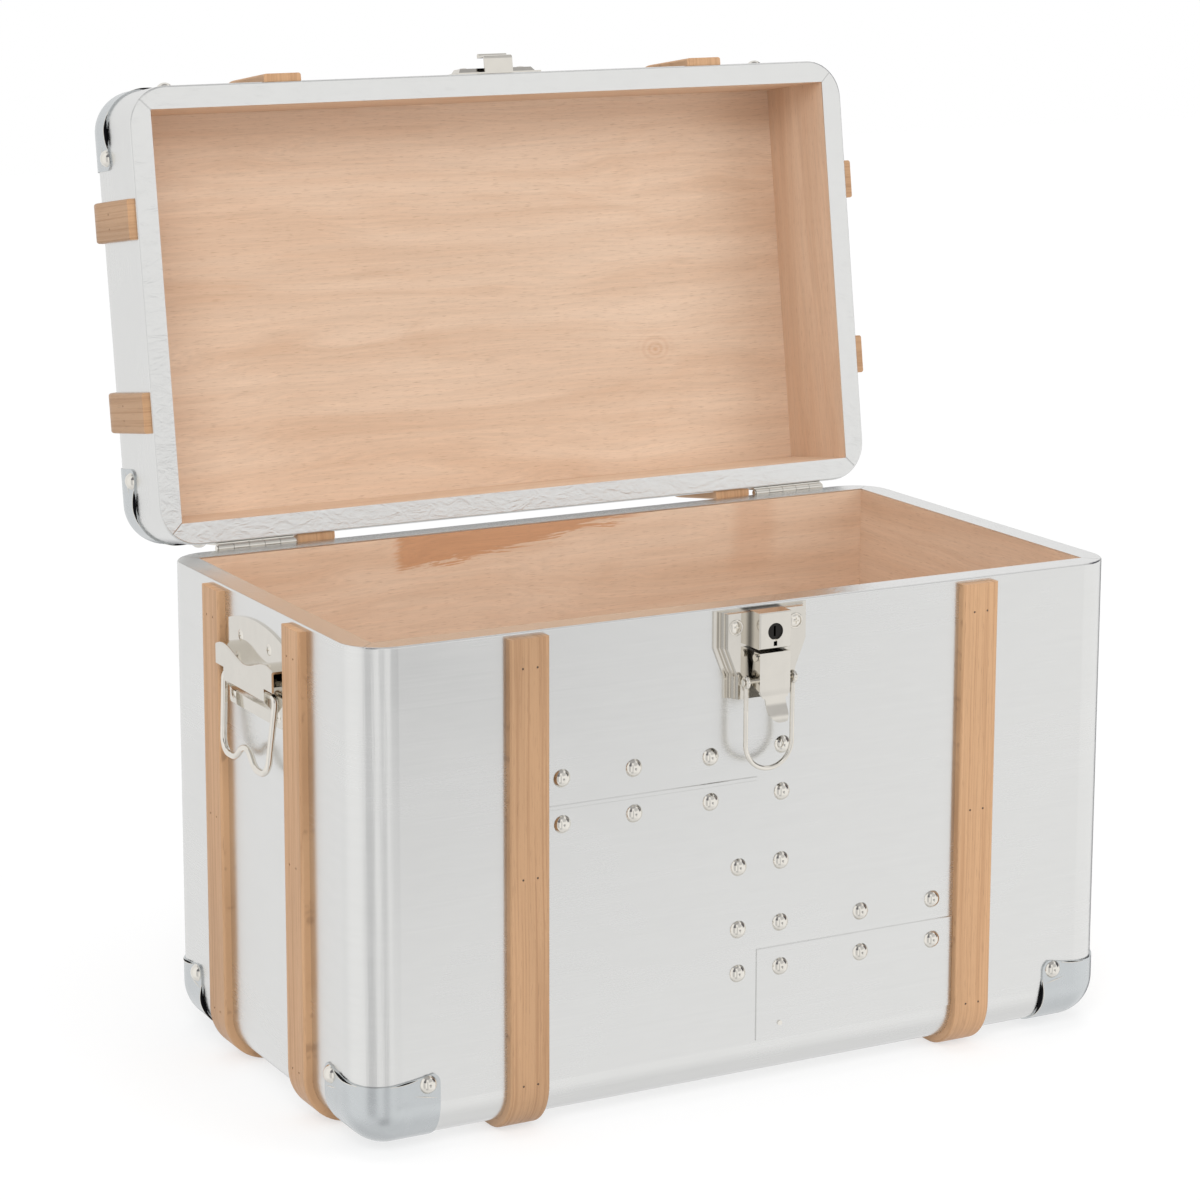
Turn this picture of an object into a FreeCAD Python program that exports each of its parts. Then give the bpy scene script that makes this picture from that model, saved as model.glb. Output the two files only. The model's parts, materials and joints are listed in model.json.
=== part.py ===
import FreeCAD, Part
import math
import os
from FreeCAD import Placement, Rotation, Vector

# A plywood chest clad in aluminium sheet, with bent wooden slats, corner caps, two back hinges,
# a front draw latch with a key lock and a drop handle at each side. Millimetres, +Z up.
# X runs along the front, the front faces -Y, and the origin is on the floor under the middle of
# the base. The lid is built closed and then swung open about its hinge pins.

# ---- driving dimensions: base --------------------------------------------------------------------
base_width = 610.0          # over the sheet, left to right
base_depth = 338.0          # over the sheet, front to back
rim_height = 355.0          # floor to the top of the base's rim
sheet = 1.0                 # aluminium sheet
wall_ply = 18.0
floor_ply = 15.0
edge_radius = 30.0          # outside radius of the rounded corners and edges
rim_bend = 1.5              # outside radius where the sheet turns over the rim
patch_sheet = 0.8           # thickness of the two sheets laid over the front
patch_chamfer = 0.5         # slope filed on their upper edges
hem_below_edge = 2.2        # groove of the left patch's folded hem, under its upper edge
hem_groove = 0.8
hem_groove_depth = 0.4
patch_gap = 1.5             # between those two sheets
left_patch_top = 231.5      # floor to the upper edge of the left patch
right_patch_top = 105.2
patch_low = 37.5            # floor to the lower edge of both, where the rounded edge starts
patch_side_gap = 0.4        # patch to slat
nail_over_left_seam = 18.5  # nail centres over and under the upper edge of the left patch
nail_under_left_seam = 13.5
nail_over_right_seam = 15.0
nail_under_right_seam = 15.2
nail_left_outer_x = 154.0   # nail columns over the left patch, from the middle of the front
nail_left_middle_x = 98.5
nail_left_inner_x = 38.0
nail_seam_left_x = 15.0     # the columns on both sides of the upright seam
nail_seam_right_x = 20.0
nail_right_inner_x = 87.0   # nail columns over the right patch
nail_right_outer_x = 148.0
nail_seam_extra = 2.0       # the seam column's top nail sits this much over its row
nail_seam_second = 63.8     # drops of the seam column's nails under the left patch's edge
nail_seam_third = 109.3
tack_height_up = 48.0

# ---- driving dimensions: slats -------------------------------------------------------------------
slat_width = 30.0
slat_thick = 6.0
slat_round = 2.0            # rounding of the outer edges
slat_below_rim = 3.5        # base slats stop this far under the rim
slat_above_rim = 2.0        # lid slats start this far from the lid's rim
slat_butt_gap = 0.3         # end of a side slat to the slat it butts against
runner_x = 181.0            # middle of the two slats that run front to back
side_slat_front_y = -73.0
side_slat_rear_y = 69.0
brad_radius = 0.8
brad_length = 18.0
lid_brad_length = 12.0      # the lid's brads stop inside its thin top panel
brad_sink = 0.3             # head below the face of the slat
brad_pair = 11.0            # between the two brads of a pair
brad_from_end = 20.5        # slat end to its first pair

# ---- driving dimensions: lid ---------------------------------------------------------------------
lid_ply = 16.0
lid_top_ply = 8.0
lid_inside = 86.0           # rim to the underside of the top panel
rim_gap = 0.4               # between the two rims when shut
lid_open_deg = 98.6         # how far the lid stands open

# ---- driving dimensions: nails, rivets and caps --------------------------------------------------
nail_head_radius = 6.5
nail_head_height = 4.4
nail_shank_radius = 1.1
nail_length = 14.0
lid_nail_length = 9.0       # the lid's nails stop inside its thin top panel
tack_radius = 1.8
tack_height = 0.8
cap_sheet = 1.2
cap_reach = 58.0            # along the faces from the corner
cap_height = 52.0           # up from the bottom, or down from the top
cap_lobe_radius = 8.0
cap_dip = 6.0               # how far the edge between the upright lobes dips at the corner
cap_dip_radius = 140.0
cap_nail_in = 9.0           # nail centre in from the cap's upright edges
cap_nail_drop = 7.8         # nail centre in from the ends of the lobes

# ---- driving dimensions: hinges ------------------------------------------------------------------
hinge_x = 231.0             # middle of each hinge
hinge_length = 62.0
hinge_knuckles = 5
hinge_barrel_radius = 3.1
hinge_pin_radius = 1.5
hinge_pin_head_radius = 2.3
hinge_pin_head = 0.8
hinge_axis_out = 3.9        # pin centre behind the back face
hinge_leaf = 1.5
hinge_leaf_height = 30.0
knuckle_gap = 0.3
knuckle_clearance = 0.3     # leaf to the other leaf's barrel
running_fit = 0.05          # radial clearance of a turning pin

# ---- driving dimensions: screws ------------------------------------------------------------------
screw_head_radius = 4.2
screw_dome = 1.1
screw_cone = 1.2
screw_shank_radius = 1.6
screw_length = 14.0
screw_slot_length = 4.6
screw_slot_width = 0.9
screw_slot_depth = 1.0

# ---- driving dimensions: latch -------------------------------------------------------------------
plate_sheet = 1.2
latch_raise = 9.0           # front of the latch plate's field above the sheet
latch_flange = 2.4          # flat border at both sides of the latch plate
latch_steps = 3             # pressed steps from the border up to the field
latch_step_run = 1.9        # sideways run of one step: its riser and its tread
latch_riser_run = 0.8
latch_top_run = 0.35        # the same at the plate's top, where the steps are steep
latch_below_rim = 1.8
latch_half_width = 37.0
latch_wide_height = 26.1    # from the plate's top down to its shoulders
latch_taper_height = 20.4   # from the shoulders down to the tail
latch_tail_half_width = 28.8
latch_tail_height = 15.7
latch_screw_x = 23.8
latch_screw_drop = 11.2     # under the plate's top
latch_low_screw_rise = 6.5  # over the plate's bottom
case_half_width = 12.7
case_height = 25.6          # from the plate's top down
case_front = 22.0           # front of the lock case above the sheet
case_wall = 1.4
case_round = 1.0
keyhole_drop = 13.6         # under the case's top
keyhole_slot_half = 1.4
keyhole_slot_drop = 10.2
plug_radius = 5.9
plug_recess = 1.2
plug_wall = 1.4             # tube that carries the plug
plug_back = 12.4            # rear of the plug above the sheet
key_slot_half = 0.8
key_slot_height = 3.6
key_slot_depth = 6.0
cam_reach = 8.6
cam_half_width = 2.0
cam_thick = 1.4
lever_below_case = 2.7
lever_height = 26.1         # flat part, above the thumb tab
lever_pivot_drop = 3.6      # pivot under the lever's top
lever_pivot_out = 17.1
lever_half_width = 12.2
lever_sheet = 1.3
lever_front = 22.0          # front of the lever above the sheet
lever_cheek_back = 11.2
lever_pin_radius = 1.5
lever_pin_head_radius = 2.5
lever_pin_head = 1.2
ear_gap = 0.3               # lever cheek to plate ear
ear_sheet = 1.4
ear_radius = 3.2
tab_curl_radius = 26.0
tab_curl_deg = 52.0
tab_half_width = 8.0        # thumb tab below its shoulders
tab_shoulder = 7.0          # height of the shoulders
loop_pivot_drop = 17.2      # loop's pivot under the lever's
loop_wire_radius = 1.7
loop_half_width = 18.6      # centre of the wire
loop_out = 14.5             # plane of the hanging loop above the sheet
loop_seat_out = 10.2        # wire in the keeper's hook, above the sheet
loop_pin_radius = 1.5
loop_pin_head_radius = 2.4
loop_pin_head = 0.9
eye_gap = 0.3

# ---- driving dimensions: keeper on the lid -------------------------------------------------------
keeper_above_rim = 3.0
keeper_half_width = 36.3
keeper_height = 26.0
keeper_chamfer = 7.0
keeper_raise = 4.5          # front of the pressed field above the sheet
keeper_flange = 2.6         # flat border round the pressed field
keeper_bevel = 3.2          # run of the bevel up to the field
keeper_screw_x = 24.5
hook_half_width = 12.0
hook_sheet = 1.7
hook_out = 14.2
hook_height = 12.6
hook_bend = 3.0             # outside radius where the hook's web turns up into its lip
hook_roll_radius = 1.7
hook_seat_gap = 0.3

# ---- driving dimensions: side handles ------------------------------------------------------------
handle_off_centre = -2.0    # middle of the handle behind the middle of the side
handle_sheet = 1.5
handle_below_rim = 13.5     # rim down to the top of the plate's arch
handle_arch = 8.5           # rise of the arch over the plate's upper corners
handle_side_height = 32.0   # upright part of the plate's sides
handle_tail_height = 27.0   # tapered part under it
handle_half_width = 52.0
handle_tail_half_width = 48.0
handle_corner = 6.0
cover_sheet = 1.5
cover_out = 10.5            # front of the pressed cover above the sheet
cover_below_arch = 22.5     # top of the cover's humps under the top of the plate's arch
cover_hump_y = 38.0         # the humps of its wavy upper edge
cover_half_width = 50.0
cover_end_drop = 2.5        # upper edge at both ends, under the humps
cover_dip = 7.5             # upper edge in the middle, under the humps
cover_ear_height = 17.0     # from the humps down to the underside of the ears
cover_body_half = 36.0
cover_body_height = 9.0     # upright part of the body under the ears
cover_slope_height = 9.0    # part that slopes back to the plate
cover_bend = 1.2            # rounding where the flange meets the front
bail_wire_radius = 2.4
bail_out = 5.7
bail_under_ear = 5.5        # axis of the bail under the ears
bail_half_width = 45.5
bail_height = 56.0          # axis down to the foot
bail_foot_half = 39.5
bail_lobe_half = 17.5
bail_lean = 4.5             # degrees that the hanging bail stands off the side
bail_bump = 15.0            # rise of the middle of the foot
bail_stub_inside = 4.0      # how far each end passes the cover's wall
bail_top_bend = 5.0
bail_foot_bend = 12.5
bail_lobe_bend = 16.0
bail_bump_bend = 14.0
handle_upper_screw_y = 25.0
handle_upper_screw_drop = 15.5
handle_lower_screw_y = 39.5
handle_lower_screw_rise = 7.5

# ---- derived sizes -------------------------------------------------------------------------------
half_x = base_width / 2
half_y = base_depth / 2
base_low = slat_thick
ply_top = rim_height - sheet
floor_top = base_low + sheet + floor_ply
lid_rim = rim_height + rim_gap
lid_top = lid_rim + lid_inside + lid_top_ply + sheet
hinge_y = half_y + hinge_axis_out
hinge_z = rim_height + rim_gap / 2
slat_outer_radius = edge_radius + slat_thick
latch_top = rim_height - latch_below_rim
latch_shoulder = latch_top - latch_wide_height
latch_tail_top = latch_shoulder - latch_taper_height
latch_bottom = latch_tail_top - latch_tail_height
latch_screw_z = latch_top - latch_screw_drop
latch_low_screw_z = latch_bottom + latch_low_screw_rise
case_top = latch_top
case_bottom = case_top - case_height
keyhole_z = case_top - keyhole_drop
lever_top = case_bottom - lever_below_case
lever_low = lever_top - lever_height
lever_pivot_z = lever_top - lever_pivot_drop
loop_pivot_z = lever_pivot_z - loop_pivot_drop
hook_low = lid_rim + keeper_above_rim
hook_seat_z = hook_low + hook_sheet + hook_seat_gap + loop_wire_radius
loop_inner = loop_half_width - loop_wire_radius
arc_drop = loop_inner - math.sqrt(loop_inner ** 2 - hook_half_width ** 2)
# The loop hangs as far below its pin as it reaches above it, leaning in, when it is over the hook.
loop_reach = math.hypot(hook_seat_z + arc_drop - loop_pivot_z, loop_out - loop_seat_out)
loop_low_z = loop_pivot_z - loop_reach
handle_apex = rim_height - handle_below_rim
handle_side_top = handle_apex - handle_arch
handle_shoulder = handle_side_top - handle_side_height
handle_bottom = handle_shoulder - handle_tail_height
cover_top = handle_apex - cover_below_arch
cover_ear_low = cover_top - cover_ear_height
cover_body_low = cover_ear_low - cover_body_height
cover_low = cover_body_low - cover_slope_height
bail_axis_z = cover_ear_low - bail_under_ear
bail_low_z = bail_axis_z - bail_height
X_AXIS = Vector(1, 0, 0)
Y_AXIS = Vector(0, 1, 0)
Z_AXIS = Vector(0, 0, 1)
FRONT = Vector(0, -1, 0)
BACK = Vector(0, 1, 0)
LEFT = Vector(-1, 0, 0)
RIGHT = Vector(1, 0, 0)
UP = Vector(0, 0, 1)
DOWN = Vector(0, 0, -1)
EPS = 1e-3
FAR = 2000.0                # longer than anything here, for cutting tools

nodes = {}


# ---- shape helpers -------------------------------------------------------------------------------
def block(x0, x1, y0, y1, z0, z1):
    corner = Vector(min(x0, x1), min(y0, y1), min(z0, z1))
    return Part.makeBox(abs(x1 - x0), abs(y1 - y0), abs(z1 - z0), corner)


def rod(start, direction, radius, length):
    return Part.makeCylinder(radius, length, start, direction)


def aim(shape, point, direction):
    """Moves a shape built along +Z so that it stands at a point, along a direction."""
    placed = shape.copy()
    placed.Placement = Placement(point, Rotation(Z_AXIS, direction))
    return placed


def group(shapes):
    return Part.makeCompound(shapes)


def cut_all(shape, tools):
    """Cuts only the tools whose boxes reach the shape."""
    near = [t for t in tools if t.BoundBox.intersect(shape.BoundBox)]
    return shape.cut(near) if near else shape


def prism(points, direction):
    """Straight-sided outline, swept along a direction."""
    return Part.Face(Part.makePolygon(points + points[:1])).extrude(direction)


def tub(hx, hy, z_flat, z_open, radius):
    """Solid box whose upright edges and flat end's edges are rounded alike; z_open is its sharp end."""
    solid = block(-hx, hx, -hy, hy, z_flat, z_open)
    edges = []
    for e in solid.Edges:
        box = e.BoundBox
        if box.ZLength > EPS or abs(box.ZMin - z_flat) < EPS:
            edges.append(e)
    return solid.makeFillet(radius, edges)


def round_rim(solid, z, radius):
    edges = [e for e in solid.Edges if e.BoundBox.ZLength < EPS and abs(e.BoundBox.ZMin - z) < EPS]
    return solid.makeFillet(radius, edges)


def arc_edge(centre, radius, start_deg, end_deg, at):
    """Arc in a plane; at(u, v) gives the point in space."""
    mid = (start_deg + end_deg) / 2
    ends = []
    for a in (start_deg, mid, end_deg):
        u = centre[0] + radius * math.cos(math.radians(a))
        v = centre[1] + radius * math.sin(math.radians(a))
        ends.append(at(u, v))
    return Part.Arc(*ends).toShape()


def rounded_wire(points, radii):
    """Straight runs joined by tangent arcs; radii gives one radius for each inner point."""
    edges = []
    last = points[0]
    for i in range(1, len(points) - 1):
        before = (points[i - 1] - points[i]).normalize()
        after = (points[i + 1] - points[i]).normalize()
        half_turn = (math.pi - before.getAngle(after)) / 2
        back = radii[i - 1] * math.tan(half_turn)
        start = points[i] + before * back
        end = points[i] + after * back
        inward = (before + after).normalize()
        centre = points[i] + inward * (radii[i - 1] / math.cos(half_turn))
        middle = centre - inward * radii[i - 1]
        edges.append(Part.LineSegment(last, start).toShape())
        edges.append(Part.Arc(start, middle, end).toShape())
        last = end
    edges.append(Part.LineSegment(last, points[-1]).toShape())
    return Part.Wire(edges)


# ---- fasteners -----------------------------------------------------------------------------------
def domed_nail(length):
    ball = (nail_head_radius ** 2 + nail_head_height ** 2) / (2 * nail_head_height)
    low = math.degrees(math.asin((ball - nail_head_height) / ball))
    head = Part.makeSphere(ball, Vector(0, 0, nail_head_height - ball), Z_AXIS, low, 90, 360)
    return head.fuse(rod(Vector(0, 0, 0), DOWN, nail_shank_radius, length))


def nail_hole(length):
    return rod(Vector(0, 0, 0), DOWN, nail_shank_radius, length)


def tack():
    return rod(Vector(0, 0, 0), UP, tack_radius, tack_height)


def brad(length):
    return rod(Vector(0, 0, -brad_sink), DOWN, brad_radius, length)


def brad_hole(length):
    return rod(Vector(0, 0, 0), DOWN, brad_radius, length + brad_sink)


def screw_blank(length):
    """Oval-head screw before its cross recess; its seat is at z = 0."""
    ball = (screw_head_radius ** 2 + screw_dome ** 2) / (2 * screw_dome)
    low = math.degrees(math.asin((ball - screw_dome) / ball))
    dome = Part.makeSphere(ball, Vector(0, 0, screw_dome - ball), Z_AXIS, low, 90, 360)
    cone = Part.makeCone(screw_head_radius, screw_shank_radius, screw_cone, Vector(0, 0, 0), DOWN)
    shank = rod(Vector(0, 0, 0), DOWN, screw_shank_radius, length)
    return dome.fuse([cone, shank])


def screw(length):
    a = screw_slot_length / 2
    b = screw_slot_width / 2
    low = screw_dome - screw_slot_depth
    cross = block(-a, a, -b, b, low, screw_dome).fuse(block(-b, b, -a, a, low, screw_dome))
    return screw_blank(length).cut(cross)


# ---- slats ---------------------------------------------------------------------------------------
def slat_profile(half, z_face, turn, z_end, end_u=None):
    """Outline of a bent slat in the (u, z) plane. It lies on a box of half size `half`, turns round
    the rounded edge at z_face and stops at z_end; turn is +1 for a floor edge and -1 for a top edge.
    With no end_u it is a U over both edges, otherwise an L that ends at end_u."""
    r = edge_radius
    big = r + slat_thick
    outer = half + slat_thick
    flat = half - r
    z_out = z_face - turn * slat_thick
    centre_z = z_face + turn * r

    def corner(side, radius, start, end):
        return arc_edge((side * flat, centre_z), radius, start, end, at_uz)

    def at_uz(u, z):
        return Vector(u, 0, z)

    def line(u0, z0, u1, z1):
        return Part.LineSegment(at_uz(u0, z0), at_uz(u1, z1)).toShape()

    down = -90 * turn
    edges = [line(outer, z_end, outer, centre_z), corner(1, big, 0, down)]
    if end_u is None:
        edges.append(line(flat, z_out, -flat, z_out))
        edges.append(corner(-1, big, down, down - 90 * turn))
        edges.append(line(-outer, centre_z, -outer, z_end))
        edges.append(line(-outer, z_end, -half, z_end))
        edges.append(line(-half, z_end, -half, centre_z))
        edges.append(corner(-1, r, down - 90 * turn, down))
        edges.append(line(-flat, z_face, flat, z_face))
    else:
        edges.append(line(flat, z_out, end_u, z_out))
        edges.append(line(end_u, z_out, end_u, z_face))
        edges.append(line(end_u, z_face, flat, z_face))
    edges.append(corner(1, r, down, 0))
    edges.append(line(half, centre_z, half, z_end))
    edges.append(line(half, z_end, outer, z_end))
    return Part.Face(Part.Wire(edges))


def bent_slat(half, z_face, turn, z_end, end_u=None):
    """A slat in the XZ plane, its width along Y and centred on y = 0, with its outer edges rounded."""
    face = slat_profile(half, z_face, turn, z_end, end_u)
    solid = face.extrude(Vector(0, slat_width, 0))
    solid.translate(Vector(0, -slat_width / 2, 0))
    outer = half + slat_thick
    z_out = z_face - turn * slat_thick
    centre_z = z_face + turn * edge_radius
    picked = []
    for e in solid.Edges:
        if e.BoundBox.YLength > EPS:
            continue
        mid = e.valueAt((e.FirstParameter + e.LastParameter) / 2)
        on_side = abs(abs(mid.x) - outer) < EPS
        on_flat = abs(mid.z - z_out) < EPS
        from_centre = math.hypot(abs(mid.x) - (half - edge_radius), mid.z - centre_z)
        on_bend = abs(from_centre - slat_outer_radius) < EPS and abs(mid.x) > half - edge_radius
        if on_side or on_flat or on_bend:
            picked.append(e)
    return solid.makeFillet(slat_round, picked)


def turned(shape, degrees):
    copy = shape.copy()
    copy.rotate(Vector(0, 0, 0), Z_AXIS, degrees)
    return copy


def moved(shape, x=0.0, y=0.0, z=0.0):
    copy = shape.copy()
    copy.translate(Vector(x, y, z))
    return copy


def brad_pairs_on_face(across, heights, out, direction):
    """Pairs of brads side by side on an upright run; across is the run's middle along the face."""
    places = []
    along_x = abs(direction.y) > 0.5
    for z in heights:
        for side in (-0.5, 0.5):
            if along_x:
                point = Vector(across + side * brad_pair, out, z)
            else:
                point = Vector(out, across + side * brad_pair, z)
            places.append((point, direction))
    return places


def upright_brad_heights(z_end, z_face, turn):
    """Three pairs along an upright run: near its end, in its middle and just before the bend."""
    first = z_end - turn * brad_from_end
    last = z_face + turn * (edge_radius + slat_round)
    if abs(first - last) < 3 * brad_from_end:
        return [(first + last) / 2]
    return [first, (first + last) / 2, last]


def flat_brads(z_out, direction, runs):
    """Pairs of brads on the flat runs; each run is (x, y, True if the slat runs along Y)."""
    places = []
    for x, y, along_y in runs:
        for side in (-0.5, 0.5):
            dx = side * brad_pair if along_y else 0.0
            dy = 0.0 if along_y else side * brad_pair
            places.append((Vector(x + dx, y + dy, z_out), direction))
    return places


def slat_set(z_face, turn, z_end):
    """All slats of the base (turn +1) or of the lid (turn -1), and the places of their brads."""
    z_out = z_face - turn * slat_thick
    side_end = runner_x + slat_width / 2 + slat_butt_gap
    runner = turned(bent_slat(half_y, z_face, turn, z_end), 90)
    side = bent_slat(half_x, z_face, turn, z_end, side_end)
    runners = [moved(runner, x=s * runner_x) for s in (-1, 1)]
    right_pair = [moved(side, y=y) for y in (side_slat_front_y, side_slat_rear_y)]
    left_pair = [moved(turned(side, 180), y=y) for y in (side_slat_front_y, side_slat_rear_y)]
    places = []
    heights = upright_brad_heights(z_end, z_face, turn)
    for s in (-1, 1):
        places += brad_pairs_on_face(s * runner_x, heights, -half_y - slat_thick, FRONT)
        places += brad_pairs_on_face(s * runner_x, heights, half_y + slat_thick, BACK)
        for y in (side_slat_front_y, side_slat_rear_y):
            out = half_x + slat_thick
            places += brad_pairs_on_face(y, heights, s * out, RIGHT if s > 0 else LEFT)
    near_edge = half_y - edge_radius - slat_round
    side_mid = (side_end + half_x - edge_radius) / 2
    runs = []
    for s in (-1, 1):
        runs += [(s * runner_x, y, True) for y in (-near_edge, 0.0, near_edge)]
        runs += [(s * side_mid, y, False) for y in (side_slat_front_y, side_slat_rear_y)]
    places += flat_brads(z_out, DOWN if turn > 0 else UP, runs)
    return runners, left_pair, right_pair, places


# ---- corner caps ---------------------------------------------------------------------------------
def cap_corner(side_x, side_y, z_face, turn):
    """The space that one cap fills: a block at the corner with rounded lobes."""
    over = 10.0
    z_in = z_face + turn * cap_height
    z_out = z_face - turn * over
    solid = block(half_x + over, half_x - cap_reach, half_y + over, half_y - cap_reach, z_in, z_out)
    edges = []
    for e in solid.Edges:
        mid = e.valueAt((e.FirstParameter + e.LastParameter) / 2)
        inner_x = abs(mid.x - (half_x - cap_reach)) < EPS
        inner_y = abs(mid.y - (half_y - cap_reach)) < EPS
        inner_z = abs(mid.z - z_in) < EPS
        if inner_x + inner_y + inner_z == 2:
            edges.append(e)
    solid = solid.makeFillet(cap_lobe_radius, edges)
    dip_z = z_in + turn * (cap_dip_radius - cap_dip)
    across = Vector(1, 1, 0).normalize()
    start = Vector(half_x, half_y, dip_z) - across * FAR / 2
    solid = solid.cut(rod(start, across, cap_dip_radius, FAR))
    if side_x < 0:
        solid = solid.mirror(Vector(0, 0, 0), X_AXIS)
    if side_y < 0:
        solid = solid.mirror(Vector(0, 0, 0), Y_AXIS)
    return solid


def caps(z_face, turn):
    """Four caps of the base or the lid, by name, and the places of their nails."""
    z_far = z_face + turn * (cap_height + cap_reach)
    z_out = z_face - turn * cap_sheet
    outer = tub(half_x + cap_sheet, half_y + cap_sheet, z_out, z_far, edge_radius + cap_sheet)
    shell = outer.cut(tub(half_x, half_y, z_face, z_far + turn, edge_radius))
    made = {}
    places = []
    in_x = half_x - cap_reach + cap_nail_in
    in_y = half_y - cap_reach + cap_nail_in
    in_z = z_face + turn * (cap_height - cap_nail_drop)
    for end, sy in (("front", -1), ("rear", 1)):
        for hand, sx in (("left", -1), ("right", 1)):
            made[end + "_" + hand] = shell.common(cap_corner(sx, sy, z_face, turn))
            face_y = sy * (half_y + cap_sheet)
            face_x = sx * (half_x + cap_sheet)
            face_z = z_face - turn * cap_sheet
            places.append((Vector(sx * in_x, face_y, in_z), Vector(0, sy, 0)))
            places.append((Vector(face_x, sy * in_y, in_z), Vector(sx, 0, 0)))
            places.append((Vector(sx * in_x, sy * in_y, face_z), Vector(0, 0, -turn)))
    return made, places


# ---- pressed plates ------------------------------------------------------------------------------
def outline_inset(points, inset):
    """Moves each side of a closed outline of (x, z) points inwards; the points run anticlockwise."""
    moved_points = []
    count = len(points)
    for i in range(count):
        before = points[i - 1]
        here = points[i]
        after = points[(i + 1) % count]
        d1 = Vector(here[0] - before[0], here[1] - before[1], 0).normalize()
        d2 = Vector(after[0] - here[0], after[1] - here[1], 0).normalize()
        n1 = Vector(-d1.y, d1.x, 0)
        n2 = Vector(-d2.y, d2.x, 0)
        shift = (n1 + n2) * (inset / (1 + n1.dot(n2)))
        moved_points.append((here[0] + shift.x, here[1] + shift.y))
    return moved_points


def front_wire(points, out):
    """Closed wire on the front, `out` millimetres above the sheet."""
    corners = [Vector(x, -half_y - out, z) for x, z in points]
    return Part.makePolygon(corners + corners[:1])


def pressed_plate(points):
    """Sheet plate on the front face: a flat flange round a field raised by a bevelled step."""
    foot = outline_inset(points, keeper_flange)
    field = outline_inset(points, keeper_flange + keeper_bevel)
    under_foot = outline_inset(foot, plate_sheet)
    under_field = outline_inset(field, plate_sheet)
    flange = Part.Face(front_wire(points, 0)).extrude(Vector(0, -plate_sheet, 0))
    raised = Part.makeLoft([front_wire(foot, 0), front_wire(field, keeper_raise)], True, True)
    hollow_wires = [front_wire(under_foot, 0), front_wire(under_field, keeper_raise - plate_sheet)]
    hollow = Part.makeLoft(hollow_wires, True, True)
    return flange.fuse(raised).cut(hollow).removeSplitter()


def at_front(x, out, z):
    return Vector(x, -half_y - out, z)


# ---- base box ------------------------------------------------------------------------------------
base_outer = round_rim(tub(half_x, half_y, base_low, rim_height, edge_radius), rim_height, rim_bend)
base_core = tub(half_x - sheet, half_y - sheet, base_low + sheet, ply_top, edge_radius - sheet)
wall = sheet + wall_ply
base_opening = block(
    -half_x + wall, half_x - wall,
    -half_y + wall, half_y - wall,
    floor_top, rim_height + FAR,
)
base_cladding = base_outer.cut([base_core, base_opening])
base_panels = {
    "base_panel_left": block(-half_x, -half_x + wall, -half_y, half_y, floor_top, ply_top),
    "base_panel_right": block(half_x - wall, half_x, -half_y, half_y, floor_top, ply_top),
    "base_panel_front": block(-half_x + wall, half_x - wall, -half_y, -half_y + wall, floor_top, ply_top),
    "base_panel_back": block(-half_x + wall, half_x - wall, half_y - wall, half_y, floor_top, ply_top),
    "base_panel_bottom": block(-half_x, half_x, -half_y, half_y, base_low, floor_top),
}
base_panels = {name: panel.common(base_core) for name, panel in base_panels.items()}

base_slat_end = rim_height - slat_below_rim
runners, left_slats, right_slats, base_brad_places = slat_set(base_low, 1, base_slat_end)
base_caps, base_cap_nail_places = caps(base_low, 1)

# ---- patch sheets and nails on the front ---------------------------------------------------------
patch_side = runner_x - slat_width / 2 - patch_side_gap
patch_front = -half_y - patch_sheet


def patch(x0, x1, top):
    """One sheet over the front, with its upper front edge filed to a slope."""
    solid = block(x0, x1, -half_y, patch_front, patch_low, top)
    edges = []
    for e in solid.Edges:
        box = e.BoundBox
        if box.XLength > EPS and abs(box.ZMin - top) < EPS and abs(box.YMax - patch_front) < EPS:
            edges.append(e)
    return solid.makeChamfer(patch_chamfer, edges)


patch_left = patch(-patch_side, -patch_gap / 2, left_patch_top)
patch_right = patch(patch_gap / 2, patch_side, right_patch_top)
groove_top = left_patch_top - hem_below_edge
hem_line = block(
    -patch_side - 1, 0,
    patch_front + hem_groove_depth, patch_front - 1,
    groove_top - hem_groove, groove_top,
)
patch_left = patch_left.cut(hem_line)
nail_places = []
for nail_x in (-nail_left_outer_x, -nail_left_middle_x, -nail_left_inner_x):
    nail_places.append(at_front(nail_x, 0, left_patch_top + nail_over_left_seam))
    nail_places.append(at_front(nail_x, patch_sheet, left_patch_top - nail_under_left_seam))
top_nail_z = left_patch_top + nail_over_left_seam + nail_seam_extra
nail_places.append(at_front(nail_seam_right_x, 0, top_nail_z))
low_row = right_patch_top - nail_under_right_seam
for nail_drop in (nail_under_left_seam, nail_seam_second, nail_seam_third):
    nail_places.append(at_front(nail_seam_right_x, 0, left_patch_top - nail_drop))
for nail_drop in (nail_seam_second, nail_seam_third):
    nail_places.append(at_front(-nail_seam_left_x, patch_sheet, left_patch_top - nail_drop))
for nail_x in (-nail_seam_left_x, nail_seam_right_x, nail_right_inner_x, nail_right_outer_x):
    nail_places.append(at_front(nail_x, patch_sheet, low_row))
for nail_x in (nail_right_inner_x, nail_right_outer_x):
    nail_places.append(at_front(nail_x, 0, right_patch_top + nail_over_right_seam))
front_nails = [aim(domed_nail(nail_length), p, FRONT) for p in nail_places]
nail_holes = [aim(nail_hole(nail_length), p, FRONT) for p in nail_places]
front_nails.append(aim(tack(), at_front(nail_seam_right_x, patch_sheet, tack_height_up), FRONT))

# ---- hinges --------------------------------------------------------------------------------------
knuckle_pitch = hinge_length / hinge_knuckles


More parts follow.
